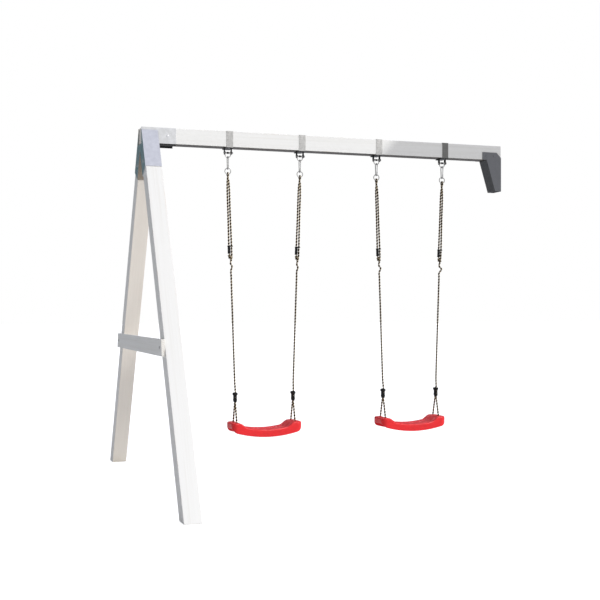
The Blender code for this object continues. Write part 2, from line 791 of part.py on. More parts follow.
def seat_section(x, inset, drop, dig):
    """A section across the seat: up its front, over its top, down its back."""
    half_length = SEAT_LENGTH / 2 - inset
    corner = SEAT_CORNER - inset
    beyond = max(abs(x) - (half_length - corner), 0.0)
    depth = SEAT_DEPTH / 2 - inset - corner + math.sqrt(max(corner**2 - beyond**2, 0.0))
    edge = max(1 - (half_length - abs(x)) / SEAT_LIP, 0.0)
    top = seat_top(x) - drop - SEAT_END_DROP * edge * edge
    ear = ramp(abs(x), EAR_INNER, EAR_OUTER)
    dish = SEAT_DISH * (1 - ear)
    front = [
        (1.0, seat_low(x) - dig),
        (1.0, top - SEAT_LIP),
        (0.95, top - 0.001),
        (0.86, top),
        (0.48, top - dish),
    ]
    loop = [(x, -share * depth, height) for share, height in front]
    loop += [(x, share * depth, height) for share, height in reversed(front)]
    return loop


def seat_block(inset, drop, dig):
    half = SEAT_LENGTH / 2 - inset
    right = [half - short for short in (0.0, 0.003, 0.008, 0.015, 0.024, SEAT_CORNER - inset)]
    right += [EAR_OUTER + (EAR_INNER - EAR_OUTER) * k / 5 for k in range(6)]
    right += [EAR_INNER * 2 / 3, EAR_INNER / 3]
    across = [-x for x in right] + [0.0] + right[::-1]
    return loft([seat_section(x, inset, drop, dig) for x in across], "seat")


def seat_mesh():
    """A shell with raised ends, open below, and four rope holes."""
    inside = seat_block(SEAT_WALL, SEAT_WALL, SEAT_END_RISE)
    shell = baked(seat_block(0.0, 0.0, 0.0), [inside], "DIFFERENCE", "seat")
    holes = []
    for side in (-1, 1):
        for face in (-1, 1):
            spot = (side * STRAND_X, face * STRAND_Y)
            holes.append(rod(HOLE_RADIUS, 2, SEAT_EAR - 3 * SEAT_WALL, SEAT_EAR + SEAT_WALL, spot))
    mesh = baked(shell, holes, "DIFFERENCE", "seat")
    return moved(rounded(mesh), z=-PIN_HEIGHT)


# ---- the whole set ----
def build_frame(paint, steel, dark_steel, zinc):
    place("swing_beam", beam_mesh(), paint)
    place("cross_tie", tie_mesh(), paint)
    place("tower_bracket", tower_mesh(), dark_steel)
    for side, word in ((-1, "front"), (1, "back")):
        place(f"{word}_leg", leg_mesh(side), paint)
        place(f"corner_bracket_{word}", corner_mesh(side), steel)
        across, height = tie_bolt_spot(side)
        tie = bolt_mesh(TIE_THICKNESS + GAP + TIMBER + LEG_BOLT_PROUD, "tie_bolt")
        place(f"tie_bolt_{word}", tie, zinc, (BEAM_START - GAP - TIE_THICKNESS, across, height))
        across, height = corner_bolt_spot(side)
        corner = bolt_mesh(SHEET + GAP + TIMBER + LEG_BOLT_PROUD, "corner_bolt")
        place(f"corner_leg_bolt_{word}", corner, zinc, (BEAM_START - GAP - SHEET, across, height))
    reach = FACE + SHEET
    for name, (along, height) in beam_bolts().items():
        mesh = bolt_mesh(2 * reach + CROSS_BOLT_PROUD, "beam_bolt", CROSS_HEAD_RADIUS)
        look = dark_steel if name.startswith("tower") else steel
        bolt = place(name, mesh, look, (along, -reach, height))
        bolt.rotation_euler = (0, 0, math.pi / 2)


def build_hanger(number, along, axle, meshes, looks):
    """One beam hanger, and what swings below it on the axle."""
    fixed = (along, 0, PIN_HEIGHT)
    place(f"hanger_strap_{number}", meshes["strap"], looks["zinc"], fixed)
    place(f"hanger_bracket_{number}", meshes["bracket"], looks["black_steel"], fixed)
    place(f"hanger_bolt_{number}", meshes["bolt"], looks["zinc"], fixed)
    place(f"hanger_bush_{number}", meshes["bush"], looks["black_plastic"], fixed)
    aside = along - axle.location.x
    place(f"hanger_bow_{number}", meshes["bow"], looks["zinc"], (aside, 0, 0), axle)
    place(f"snap_hook_{number}", meshes["hook"], looks["zinc"], (aside, 0, 0), axle)
    gate, pivot = meshes["gate"]
    place(f"snap_gate_{number}", gate, looks["zinc"], (aside, *pivot.yz), axle)
    place(f"rope_ring_{number}", meshes["ring"], looks["zinc"], (aside, 0, 0), axle)
    inward = -math.copysign(INWARD, aside)
    rope = rope_mesh(inward, KINKS[number - 1])
    place(f"rope_{number}", rope, looks["rope"], (aside, 0, 0), axle)
    low = (aside + rope_line(ADJUSTER_LOW, inward), 0, ADJUSTER_LOW - PIN_HEIGHT)
    adjuster = place(f"rope_adjuster_{number}", meshes["adjuster"], looks["black_plastic"], low, axle)
    adjuster.rotation_euler = (0, math.atan2(-inward, PIN_HEIGHT + RING_LOW - CLIP_TOP), 0)
    clip = (aside + inward, 0, CLIP_LOW - PIN_HEIGHT)
    place(f"rope_clip_{number}", meshes["clip"], looks["black_plastic"], clip, axle)


def main():
    for stale in list(bpy.data.objects):
        bpy.data.objects.remove(stale)
    looks = {
        "zinc": material("zinc_steel", (0.46, 0.45, 0.43), 0.42, 1.0),
        "black_steel": material("black_steel", (0.02, 0.02, 0.022), 0.45, 0.6),
        "black_plastic": material("black_plastic", (0.012, 0.012, 0.013), 0.5),
        "rope": material("hemp_rope", (0.52, 0.43, 0.30), 0.9),
    }
    paint = material("white_paint", (0.84, 0.84, 0.82), 0.55)
    steel = material("coated_steel", (0.60, 0.61, 0.66), 0.45, 0.3)
    dark_steel = material("grey_steel", (0.13, 0.14, 0.17), 0.45, 0.3)
    red = material("red_plastic", (0.75, 0.03, 0.03), 0.35)
    build_frame(paint, steel, dark_steel, looks["zinc"])
    meshes = {
        "strap": strap_mesh(),
        "bracket": hanger_bracket_mesh(),
        "bolt": hanger_bolt_mesh(),
        "bush": bush_mesh(),
        "bow": bow_mesh(),
        "hook": hook_mesh(),
        "gate": gate_mesh(),
        "ring": ring_mesh(),
        "adjuster": adjuster_mesh(),
        "clip": clip_mesh(),
    }
    seat = seat_mesh()
    number = 1
    for word, centre in zip(("left", "right"), SWING_CENTRES):
        middle = BEAM_START + centre
        axle = bpy.data.objects.new(f"{word}_swing_axle", None)
        axle.location = (middle, 0, PIN_HEIGHT)
        axle.empty_display_size = 0.1
        bpy.context.scene.collection.objects.link(axle)
        for side in (-1, 1):
            build_hanger(number, middle + side * HANGER_SPACING / 2, axle, meshes, looks)
            number += 1
        place(f"{word}_seat", seat, red, (0, 0, 0), axle)


main()
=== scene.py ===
"""The looks of a two-seat timber swing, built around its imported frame.

Metres, +Z up, in the frame's own coordinates. Each visible piece is made here in
finer detail than its CAD solid, which it stands for, and rides on the same body.
"""

from math import atan2, copysign, cos, exp, pi, radians, sin, sqrt, tau

import bmesh
import bpy
import numpy as np
from mathutils import Matrix, Vector


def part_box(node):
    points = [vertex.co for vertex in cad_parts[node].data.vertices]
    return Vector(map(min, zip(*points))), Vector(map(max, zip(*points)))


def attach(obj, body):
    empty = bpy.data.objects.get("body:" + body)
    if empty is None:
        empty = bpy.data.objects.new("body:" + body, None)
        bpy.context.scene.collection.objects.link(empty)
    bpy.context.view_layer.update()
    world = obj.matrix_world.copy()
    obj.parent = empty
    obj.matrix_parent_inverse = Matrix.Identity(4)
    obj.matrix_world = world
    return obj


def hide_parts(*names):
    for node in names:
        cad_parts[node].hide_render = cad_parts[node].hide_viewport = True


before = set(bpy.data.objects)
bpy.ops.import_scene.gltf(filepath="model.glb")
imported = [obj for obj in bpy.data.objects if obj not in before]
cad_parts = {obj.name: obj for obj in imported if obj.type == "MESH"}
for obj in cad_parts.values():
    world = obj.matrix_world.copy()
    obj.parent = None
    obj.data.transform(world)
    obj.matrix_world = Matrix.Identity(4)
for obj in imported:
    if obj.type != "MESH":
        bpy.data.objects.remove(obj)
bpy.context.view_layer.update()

# ---- sizes repeated from the design ----
GAP = 0.0003  # air between pieces that seem to touch
SHEET = 0.003
LEG_WIDTH = 0.090

HEAD_HEIGHT = 0.004
LEG_BOLT_PROUD = 0.011
CROSS_BOLT_PROUD = 0.009
BOLT_RADIUS = 0.004
HANGER_HEAD_RADIUS = 0.0065
CHEEK_OUTSIDE = 0.044

BUSH_RADIUS = 0.0065
BUSH_LENGTH = 0.010
BOW_WIRE = 0.0025
BOW_HALF_WIDTH = 0.016
BOW_BOTTOM = -0.0275
EYE_RADIUS = 0.008
EYE_WIDTH = 0.005
HOOK_WIRE = 0.003
HOOK_TOP_RADIUS = 0.014
HOOK_LOW_RADIUS = 0.010
GATE_WIRE = 0.0025
GATE_TOP = -0.0435
GATE_LOW = -0.0765
RING_WIRE = 0.0025
RING_RADIUS = 0.0175
RING_CENTRE = -0.107

ROPE_RADIUS = 0.006
PAIR_OFFSET = 0.0077
TOUCHING = 0.0063
KNOT_HEIGHT = 1.309
KINKS = (0.007, 0.006, 0.010, 0.015)
ADJUSTER_LOW = 1.331
ADJUSTER_TOP = 1.378
ADJUSTER_BODY = 0.0080
ADJUSTER_FLANGE = 0.0091
ADJUSTER_EYE = 0.0086
ADJUSTER_BORE = 0.0067
CLIP_LOW = 0.465
CLIP_TOP = 0.520
CLIP_OFFSET = 0.0065
CLIP_BODY = 0.0094
CLIP_FLANGE = 0.0132
CLIP_BORE = 0.0069

SEAT_CORNER = 0.034
SEAT_WALL = 0.004
SEAT_RIM = 0.316
SEAT_EAR = 0.3465
SEAT_BOTTOM = 0.263
SEAT_END_RISE = 0.033
SEAT_END_ROUND = 0.030
SEAT_DISH = 0.007
SEAT_SAG = 0.010
SEAT_LIP = 0.008
EAR_INNER = 0.110
EAR_OUTER = 0.170
STRAND_X = 0.178
STRAND_Y = 0.039
HOLE_RADIUS = 0.008

# ---- sizes of the finer detail ----
WELD = 0.00002  # vertices closer than this are one
PLAY = 0.0003  # between a bore and its bolt
BEND_EDGE = 0.0007  # rounding on bent sheet's cut edges
STRAP_EDGE = 0.0006
NARROW_FACE = 0.0030 * 2.4  # square metres: the rounded edges, and not the sides
LOW_HEAD = 0.0026  # a coach bolt's flat dome
FLUSH_HEAD = 0.0010
THREAD_LENGTH = 0.010
THREAD_PITCH = 0.00125
THREAD_ROOT = 0.86  # of the bolt's radius
NUT_HEIGHT = 0.0062
WASHER_HEIGHT = 0.0014
SCREW_RADIUS = 0.0045
SCREW_HEAD = 0.0022
SCREW_REACH = 0.033  # from the hanger's middle to each of its screws
WIRE_STEP = 0.0012
SHADED_STRAP = 4  # a strap in painted shadow, darker than the other three

ROPE_PITCH = 0.036  # length of one full turn of a strand
STRANDS = 2
STRAND_OFFSET = 0.0030
STRAND_RADIUS = ROPE_RADIUS - STRAND_OFFSET
GROOVE_FLOOR = 0.0032
LOBE_POINTS = 16
YARNS_ACROSS = 6
ROPE_STEP = 0.0024
KNOT_TURNS = 1.8
KNOT_COIL = 0.0076
KNOT_RISE = 0.0092
KNOT_HALF = 0.017  # half of the knot's height
KNOT_SQUEEZE = 0.80  # the knot's rope is pulled thinner than the rest
KNOT_ROPE = 0.115  # how much rope is in the knot
KNOT_EASING = 0.020
DOUBLED_CLOSE = 1.560  # where the doubled rope's two strands come together
SPLIT_REACH = 0.0132  # how far out each strand is just below the clip

CLIP_WINDOWS = (0.0205, 0.0290, 0.0375)

SIDE_STEPS, CORNER_STEPS, END_STEPS, LIP_STEPS = 80, 8, 20, 6
FOOT_ROUND = 0.0012
COLLAR_WIDTH = 0.0028  # round each rope hole
RIB_HALF_WIDTH = 0.0012
RIB_DEPTH = 0.008
RIB_STEPS = 14
CROSS_RIBS, CROSS_RIB_REACH = (-0.075, -0.025, 0.025, 0.075), 0.068
LONG_RIBS, LONG_RIB_REACH = (-0.034, 0.034), 0.105

# ---- the studio ----
CAMERA_AT = (-2.2159, -6.0072, 1.0146)
CAMERA_TURN = -18.78
CAMERA_LENS = 63.90
CAMERA_SHIFT = 0.0131
FLOOR_REACH = 60.0
FLOOR_BOUNCE = 0.70
FLOOR_SHOWN = 0.55
FLOOR_GLOW = 0.74
KEY_FROM = (0.62, -0.62, 0.48)
FLAG_AWAY = 0.5
FLAG_SHADOW = (  # where its corners' shadows fall, in the plane of the beam's face
    (-0.70, -0.045, 0.90),
    (0.50, -0.045, 2.12),
    (2.60, -0.045, 2.12),
    (2.60, -0.045, 0.90),
)


# ---- places, from the frame ----
def middle_of(node):
    low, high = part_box(node)
    return (low + high) / 2


BEAM_LOW_CORNER, BEAM_HIGH_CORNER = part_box("swing_beam")
PIN_HEIGHT = middle_of("hanger_bush_1").z
HANGERS = [middle_of(f"hanger_bush_{number}").x for number in (1, 2, 3, 4)]
SWINGS = {"left": (1, 2), "right": (3, 4)}
SEAT_LOW_CORNER, SEAT_HIGH_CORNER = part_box("left_seat")
SEAT_HALF_LENGTH = (SEAT_HIGH_CORNER.x - SEAT_LOW_CORNER.x) / 2
SEAT_HALF_DEPTH = SEAT_HIGH_CORNER.y
BOW_TOP = BOW_BOTTOM + BOW_WIRE
HOOK_TOP = BOW_TOP + HOOK_WIRE + GAP
RING_TOP = RING_CENTRE + RING_RADIUS
RING_LOW = RING_CENTRE - RING_RADIUS
HOOK_LOW = RING_TOP - RING_WIRE - HOOK_WIRE - GAP
BIGHT_RADIUS = RING_WIRE + ROPE_RADIUS + GAP
HANGER_PLATE_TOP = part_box("hanger_bracket_1")[1].z - PIN_HEIGHT
INWARD = (HANGERS[1] - HANGERS[0]) / 2 - STRAND_X


# ---- material helpers ----
class Nodes:
    """Short ways to add nodes to a tree."""

    def __init__(self, tree):
        self.tree = tree

    def node(self, kind, **links):
        """A node whose sockets, by name, take a value or another node's output."""
        made = self.tree.nodes.new(kind)
        for name, value in links.items():
            self.join(made.inputs[name.replace("_", " ")], value)
        return made

    def join(self, socket, value):
        if isinstance(value, bpy.types.NodeSocket):
            self.tree.links.new(value, socket)
        else:
            socket.default_value = value

    def mapped(self, where, scale):
        """Coordinates stretched by a scale along each axis."""
        return self.node("ShaderNodeMapping", Vector=where, Scale=scale).outputs[0]

    def noise(self, where, scale, detail=4.0, roughness=0.55):
        made = self.node(
            "ShaderNodeTexNoise", Vector=where, Scale=scale, Detail=detail, Roughness=roughness
        )
        return made.outputs["Fac"]

    def ranged(self, value, low, high, to_low=0.0, to_high=1.0):
        """A value eased from one range of numbers to another."""
        span = {"From_Min": low, "From_Max": high, "To_Min": to_low, "To_Max": to_high}
        made = self.node("ShaderNodeMapRange", Value=value, **span)
        made.interpolation_type = "SMOOTHSTEP"
        return made.outputs[0]

    def math(self, kind, first, second=0.0):
        made = self.tree.nodes.new("ShaderNodeMath")
        made.operation = kind
        self.join(made.inputs[0], first)
        self.join(made.inputs[1], second)
        return made.outputs[0]

    def mixed(self, share, first, second, kind="MIX"):
        """Colours, one over the other, by share."""
        made = self.tree.nodes.new("ShaderNodeMix")
        made.data_type = "RGBA"
        made.blend_type = kind
        self.join(made.inputs["Factor"], share)
        for socket, colour in zip((made.inputs[6], made.inputs[7]), (first, second)):
            plain = not isinstance(colour, bpy.types.NodeSocket)
            self.join(socket, (*colour, 1.0) if plain else colour)
        return made.outputs[2]


class Look(Nodes):
    """A material with a Principled shader."""

    def __init__(self, name, colour, roughness, metallic=0.0):
        self.material = bpy.data.materials.new(name)
        self.material.use_nodes = True
        super().__init__(self.material.node_tree)
        self.shader = self.tree.nodes["Principled BSDF"]
        self.set("Base Color", (*colour, 1.0))
        self.set("Roughness", roughness)
        self.set("Metallic", metallic)

    def set(self, socket, value):
        self.shader.inputs[socket].default_value = value

    def feed(self, socket, source):
        self.tree.links.new(source, self.shader.inputs[socket])

    def place(self, stretch=(1.0, 1.0, 1.0)):
        """The object's own coordinates in metres, stretched."""
        return self.mapped(self.node("ShaderNodeTexCoord").outputs["Object"], stretch)

    def attribute(self, name, output="Fac"):
        made = self.node("ShaderNodeAttribute")
        made.attribute_name = name
        return made.outputs[output]

    def bump(self, height, depth, under=None):
        """Relief, where a height of 1 stands depth metres proud."""
        made = self.node("ShaderNodeBump", Height=height, Distance=depth, Strength=1.0)
        if under:
            self.tree.links.new(under, made.inputs["Normal"])
        return made.outputs[0]


# ---- materials ----
def timber_look(name):
    """Square softwood under white stain, with its grain, knots and rubbed edges, and painted shade:
    warm beige on the legs' inner faces, dark brown under the beam.
    """
    look = Look(name, (0.84, 0.84, 0.825), 0.55)
    grain = look.attribute("grain", "Vector")
    painted_shade, end, edge = [look.attribute(mark) for mark in ("painted_shade", "end", "edge")]
    wander = look.mapped(grain, (1.1, 9.0, 9.0))
    drift = look.noise(wander, 1.0, 2.0)
    streak = look.noise(look.mapped(grain, (0.55, 46.0, 46.0)), 1.6, 5.0, 0.6)
    fibre = look.noise(look.mapped(grain, (7.0, 520.0, 520.0)), 1.0, 3.0, 0.6)
    cells = look.mapped(grain, (2.1, 12.0, 12.0))
    knot = look.node("ShaderNodeTexVoronoi", Vector=cells, Scale=1.0).outputs["Distance"]
    rings = look.node("ShaderNodeTexWave", Vector=grain, Scale=34.0, Distortion=3.0, Detail=3.0)
    rings.wave_type = "RINGS"
    rings.rings_direction = "X"

    paint = look.mixed(look.ranged(streak, 0.42, 0.72), (0.835, 0.825, 0.79), (0.79, 0.775, 0.73))
    paint = look.mixed(look.ranged(drift, 0.35, 0.75, 0.0, 0.5), paint, (0.81, 0.80, 0.765))
    knotted = look.math("MULTIPLY", look.ranged(knot, 0.05, 0.16, 1.0, 0.0), 0.35)
    paint = look.mixed(knotted, paint, (0.66, 0.60, 0.50))
    growth = look.ranged(rings.outputs["Fac"], 0.3, 0.8, 0.15, 0.75)
    paint = look.mixed(end, paint, look.mixed(growth, paint, (0.70, 0.65, 0.56)))

    wood = look.mixed(look.ranged(streak, 0.35, 0.7), (0.66, 0.56, 0.43), (0.50, 0.39, 0.27))
    # painted shade, by a face mark: warm beige on the legs' inner faces, near black-brown under the
    # beam
    warm_shade = look.mixed(0.14, (0.88, 0.83, 0.745), wood)
    paint_and_shade = look.mixed(look.ranged(painted_shade, 0.0, 0.5), paint, warm_shade)
    dark = look.mixed(look.ranged(streak, 0.3, 0.7), (0.060, 0.048, 0.036), (0.036, 0.028, 0.020))
    paint_and_shade = look.mixed(look.ranged(painted_shade, 0.5, 1.0), paint_and_shade, dark)
    worn = look.ranged(look.noise(wander, 7.0, 5.0), 0.52, 0.68, 0.0, 0.45)
    look.feed("Base Color", look.mixed(look.math("MULTIPLY", edge, worn), paint_and_shade, wood))
    look.feed("Roughness", look.ranged(streak, 0.3, 0.7, 0.46, 0.62))
    look.feed("Normal", look.bump(streak, 0.0005, look.bump(fibre, 0.00016)))
    return look.material


def sheet_look(name, colour, roughness, metallic, streaks, shade_colour=None):
    """Coated sheet steel: a faint rolled grain, mottling, and fine orange peel, with painted shade
    on faces marked inner.
    """
    look = Look(name, colour, roughness, metallic)
    rolled = look.noise(look.place((260.0, 260.0, 9.0)), 1.0, 4.0)
    mottle = look.noise(look.place(), 38.0, 5.0)
    peel = look.noise(look.place(), 900.0, 2.0)
    lighter = tuple(min(part * 1.04, 1.0) for part in colour)
    darker = tuple(part * 0.95 for part in colour)
    tone = look.mixed(look.ranged(mottle, 0.3, 0.7), darker, lighter)
    tone = look.mixed(look.ranged(rolled, 0.4, 0.7, 0.0, streaks), tone, darker)
    look.feed("Roughness", look.ranged(mottle, 0.3, 0.7, roughness - 0.02, roughness + 0.04))
    look.feed("Normal", look.bump(peel, 0.00004))
    # painted shade: faces marked inner take a shade colour and lose most of their metal look
    if shade_colour:
        inner = look.attribute("inner")
        tone = look.mixed(inner, tone, shade_colour)
        look.feed("Metallic", look.ranged(inner, 0.0, 1.0, metallic, 0.2))
    look.feed("Base Color", tone)
    return look.material


def zinc_look(name, shade):
    """Dull galvanised steel: crystal patches, small pits and dark handling marks, all darkened as
    painted shadow when shade is below 1.
    """
    look = Look(name, (0.47, 0.46, 0.44), 0.42, 0.65)
    where = look.place()
    patch = look.node("ShaderNodeTexVoronoi", Vector=where, Scale=190.0).outputs["Color"]
    grey = look.node("ShaderNodeRGBToBW", Color=patch).outputs[0]
    stain = look.noise(where, 60.0, 6.0, 0.6)
    tone = look.mixed(look.ranged(grey, 0.1, 0.9), (0.43, 0.425, 0.41), (0.52, 0.51, 0.49))
    # painted shadow: the whole tone times shade
    tone = look.mixed(1.0, tone, (shade, shade, shade), "MULTIPLY")
    tone = look.mixed(look.ranged(stain, 0.52, 0.75, 0.0, 0.35), tone, (0.30, 0.29, 0.28))
    look.feed("Base Color", tone)
    look.feed("Roughness", look.ranged(grey, 0.0, 1.0, 0.34, 0.52))
    look.feed("Normal", look.bump(look.noise(where, 420.0, 3.0), 0.00005))
    return look.material


def moulded_look(name, colour, roughness, scuffed, gloss):
    """Moulded plastic: a fine spark-eroded texture, cloudy gloss and light scuffs."""
    look = Look(name, colour, roughness)
    where = look.place()
    cloud = look.noise(where, 22.0, 4.0)
    scratch = look.noise(look.place((60.0, 900.0, 900.0)), 1.0, 3.0)
    shade = tuple(part * 0.90 for part in colour)
    tone = look.mixed(look.ranged(cloud, 0.35, 0.7), colour, shade)
    scuff = look.ranged(scratch, 0.66, 0.74, 0.0, 0.12)
    look.feed("Base Color", look.mixed(scuff, tone, scuffed))
    look.feed("Roughness", look.ranged(cloud, 0.3, 0.7, roughness - 0.05, roughness + 0.07))
    pitted = look.bump(look.noise(where, 1500.0, 2.0), 0.00005)
    look.feed("Normal", look.bump(look.noise(where, 26.0, 2.0), 0.0006, pitted))
    look.set("Specular IOR Level", gloss)
    return look.material


def rope_look(name):
    """Laid hemp-coloured rope: pale crests and yarns along its length, with painted shade: darker
    between the yarns, dark brown on the groove flanks, near black in the grooves.
    """
    look = Look(name, (0.62, 0.52, 0.38), 0.85)
    parts = look.node("ShaderNodeSeparateXYZ", Vector=look.attribute("lay", "Vector"))
    aside, along, depth = parts.outputs
    turn = look.math("ADD", aside, look.math("DIVIDE", along, ROPE_PITCH / (2 * STRANDS)))
    yarn = look.math("SINE", look.math("MULTIPLY", turn, tau * YARNS_ACROSS / 2))
    where = look.place()
    fibre = look.noise(where, 1400.0, 3.0, 0.7)
    patch = look.noise(where, 30.0, 4.0)
    crest = look.mixed(look.ranged(patch, 0.3, 0.7), (0.54, 0.455, 0.32), (0.45, 0.36, 0.23))
    crest = look.mixed(look.ranged(fibre, 0.35, 0.75, 0.0, 0.6), crest, (0.62, 0.54, 0.40))
    # painted shade: darker between the yarns, then dark brown flanks and near-black grooves
    crest = look.mixed(look.ranged(yarn, -1.0, -0.1, 0.30, 0.0), crest, (0.26, 0.19, 0.11))
    flank_shade = look.mixed(look.ranged(depth, 0.08, 0.34), crest, (0.085, 0.050, 0.024))
    groove = look.ranged(depth, 0.22, 0.55)
    look.feed("Base Color", look.mixed(groove, flank_shade, (0.006, 0.0035, 0.002)))
    look.feed("Normal", look.bump(yarn, 0.00028, look.bump(fibre, 0.0002)))
    look.set("Specular IOR Level", 0.10)
    return look.material


def floor_look():
    """A pale floor: it reads almost white, and throws back a softer light than it shows."""
    look = Look("floor", (FLOOR_BOUNCE,) * 3, 1.0)
    seen = look.node("ShaderNodeLightPath").outputs["Is Camera Ray"]
    look.feed("Base Color", look.mixed(seen, (FLOOR_BOUNCE,) * 3, (FLOOR_SHOWN,) * 3))
    look.set("Emission Color", (1.0, 1.0, 1.0, 1.0))
    look.feed("Emission Strength", look.math("MULTIPLY", seen, FLOOR_GLOW))
    look.set("Specular IOR Level", 0.0)
    return look.material


# painted shadow: the material of the strap in shadow
SHADED_ZINC = "shaded_zinc_steel"
LOOKS = {  # by the record's material slots, and one more for the strap in painted shadow
    name: make(name, *values)
    for name, make, *values in (
        ("white_timber", timber_look),
        # the last colour on the coated_steel and dark_steel lines is painted shade for faces marked
        # inner
        ("coated_steel", sheet_look, (0.74, 0.745, 0.76), 0.30, 0.9, 0.35, (0.30, 0.25, 0.19)),
        ("dark_steel", sheet_look, (0.165, 0.168, 0.178), 0.45, 0.25, 0.30, (0.050,) * 3),
        ("black_steel", sheet_look, (0.012,) * 3, 0.50, 0.1, 0.30),
        ("zinc_steel", zinc_look, 1.0),
        # painted shadow: the same zinc at 0.38 of its brightness
        (SHADED_ZINC, zinc_look, 0.38),
        ("black_plastic", moulded_look, (0.007,) * 3, 0.50, (0.05,) * 3, 0.25),
        ("red_plastic", moulded_look, (0.82, 0.024, 0.028), 0.34, (0.82, 0.12, 0.11), 0.28),
        ("hemp_rope", rope_look),
    )
}


# ---- mesh helpers ----
def mesh_of(build, name, sharp=35):
    """The finished mesh of a bmesh, with its faces outward."""
    bmesh.ops.recalc_face_normals(build, faces=build.faces[:])
    mesh = bpy.data.meshes.new(name)
    build.to_mesh(mesh)
    build.free()
    return smoothed(mesh, sharp)


def smoothed(mesh, sharp=35):
    """The mesh shaded smooth, but for edges sharper than an angle in degrees."""
    mesh.shade_smooth()
    mesh.set_sharp_from_angle(angle=radians(sharp))
    return mesh


def placed(name, data, spot=(0, 0, 0), turn=(0, 0, 0)):
    """A new object in the scene."""
    made = bpy.data.objects.new(name, data)
    made.location = spot
    made.rotation_euler = turn
    bpy.context.scene.collection.objects.link(made)
    return made


def piece(name, mesh, slot, body="root", nodes=(), look=None, **place):
    """A visible piece in place, riding on its body and standing for its CAD nodes."""
    made = placed(name, mesh, **place)
    if not mesh.materials:
        mesh.materials.append(LOOKS[look or slot])
    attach(made, body)
    if nodes:
        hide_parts(*nodes)
    return made


def stand_in(node, word, mesh, slot, body="root", **place):
    """A piece that stands for one CAD node, and is named after it."""
    return piece(f"{node}_{word}", mesh, slot, body, [node], **place)


def flat_sided(made):
    """Keeps flat faces flat in their shading beside narrow rounded edges."""
    modifier = made.modifiers.new("flats", "WEIGHTED_NORMAL")
    modifier.keep_sharp = True
    return made


def shaped(base, others, operation, name, sharp=35):
    """The mesh that a Boolean of the base with each other mesh leaves."""
    body = placed(name, base)
    tools = [placed("tool", other) for other in others]
    for tool in tools:
        cut = body.modifiers.new("shape", "BOOLEAN")
        cut.operation = operation
        cut.solver = "EXACT"
        cut.object = tool
    bpy.context.view_layer.update()
    evaluated = body.evaluated_get(bpy.context.evaluated_depsgraph_get())
    mesh = bpy.data.meshes.new_from_object(evaluated)
    for used in [body, *tools]:
        bpy.data.objects.remove(used)
    mesh.name = name
    return smoothed(mesh, sharp)


def together(meshes, name):
    """Several meshes as one, each staying a closed shell of its own."""
    build = bmesh.new()
    for mesh in meshes:
        build.from_mesh(mesh)
    return mesh_of(build, name)


def moved(mesh, x=0.0, y=0.0, z=0.0):
    mesh.transform(Matrix.Translation((x, y, z)))
    return mesh


def turned(mesh, angle, axis):
    mesh.transform(Matrix.Rotation(angle, 4, axis))
    return mesh


def turns_of(count, start=0.0):
    """Angles evenly spaced round a circle."""
    return [tau * (k + start) / count for k in range(count)]


def bridge(build, loops):
    """Faces from each closed loop of vertices to the next one."""
    for near, far in zip(loops, loops[1:]):
        for k in range(len(near)):
            after = (k + 1) % len(near)
            build.faces.new((near[k], near[after], far[after], far[k]))


def loft(loops, name="part", closed=False, sharp=35):
    """One shell through loops of points: closed into a ring, or capped at its two ends."""
    build = bmesh.new()
    loops = [[build.verts.new(spot) for spot in loop] for loop in loops]
    if closed:
        loops.append(loops[0])
    else:
        build.faces.new(loops[0])
        build.faces.new(loops[-1])
    bridge(build, loops)
    return mesh_of(build, name, sharp)


def lathe(profile, axis="X", sides=28, name="part"):
    """A solid of revolution: each profile point is a place along the axis and a radius.

    A profile that comes back to its start makes a ring; an open one is closed at its ends.
    """
    closed = profile[0] == profile[-1]
    loops = [
        [(along, radius * cos(turn), radius * sin(turn)) for turn in turns_of(sides)]
        for along, radius in (profile[:-1] if closed else profile)
    ]
    mesh = loft(loops, name, closed)
    if axis == "Z":
        turned(mesh, -pi / 2, "Y")
    if axis == "Y":
        turned(mesh, pi / 2, "Z")
    return mesh


def rim(low, high, radius, soft):
    """The outside of a turned flange, from low to high, with its two corners taken off."""
    inner = radius - soft
    return [(low, inner), (low + soft, radius), (high - soft, radius), (high, inner)]


def mirrored(side):
    """A ring's whole profile, from one half of it."""
    return [*side, *[(-along, radius) for along, radius in reversed(side)], side[0]]


def merged(node):
    """A CAD node's shape, its facets merged into whole flats."""
    build = bmesh.new()
    build.from_mesh(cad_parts[node].data)
    bmesh.ops.remove_doubles(build, verts=build.verts[:], dist=WELD)
    bmesh.ops.dissolve_limit(
        build, angle_limit=radians(1), verts=build.verts[:], edges=build.edges[:]
    )
    return build


def bevelled(build, edges, size, segments=2):
    bmesh.ops.bevel(
        build, geom=edges, offset=size, segments=segments, profile=0.5, affect="EDGES"
    )
    return build


def softened(mesh, size):
    """The mesh with every edge rounded."""
    build = bmesh.new()
    build.from_mesh(mesh)
    return mesh_of(bevelled(build, build.edges[:], size), mesh.name)


def refined(node, round_off):
    """A CAD node's shape with its flats merged and its edges rounded."""
    build = merged(node)
    least = radians(40)
    edges = [edge for edge in build.edges if edge.is_manifold and edge.calc_face_angle() > least]
    return mesh_of(bevelled(build, edges, round_off, 3), node)


def mark_faces(mesh, name, value):
    """A number for the mesh's look on each face, from the face's own value."""
    marks = mesh.attributes.new(name, "FLOAT", "FACE")
    for face in mesh.polygons:
        marks.data[face.index].value = float(value(face))


def lengths_along(line):
    """How far along a line each of its points is."""
    return np.concatenate([[0.0], np.cumsum(np.linalg.norm(np.diff(line, axis=0), axis=1))])


def spaced(line, step):
    """The same line with its points evenly spaced, about a step apart."""
    line = np.asarray([tuple(spot) for spot in line], float)
    runs = lengths_along(line)
    count = max(int(round(runs[-1] / step)), 2)
    marks = np.linspace(0.0, runs[-1], count + 1)
    return np.stack([np.interp(marks, runs, line[:, k]) for k in range(3)], axis=1)


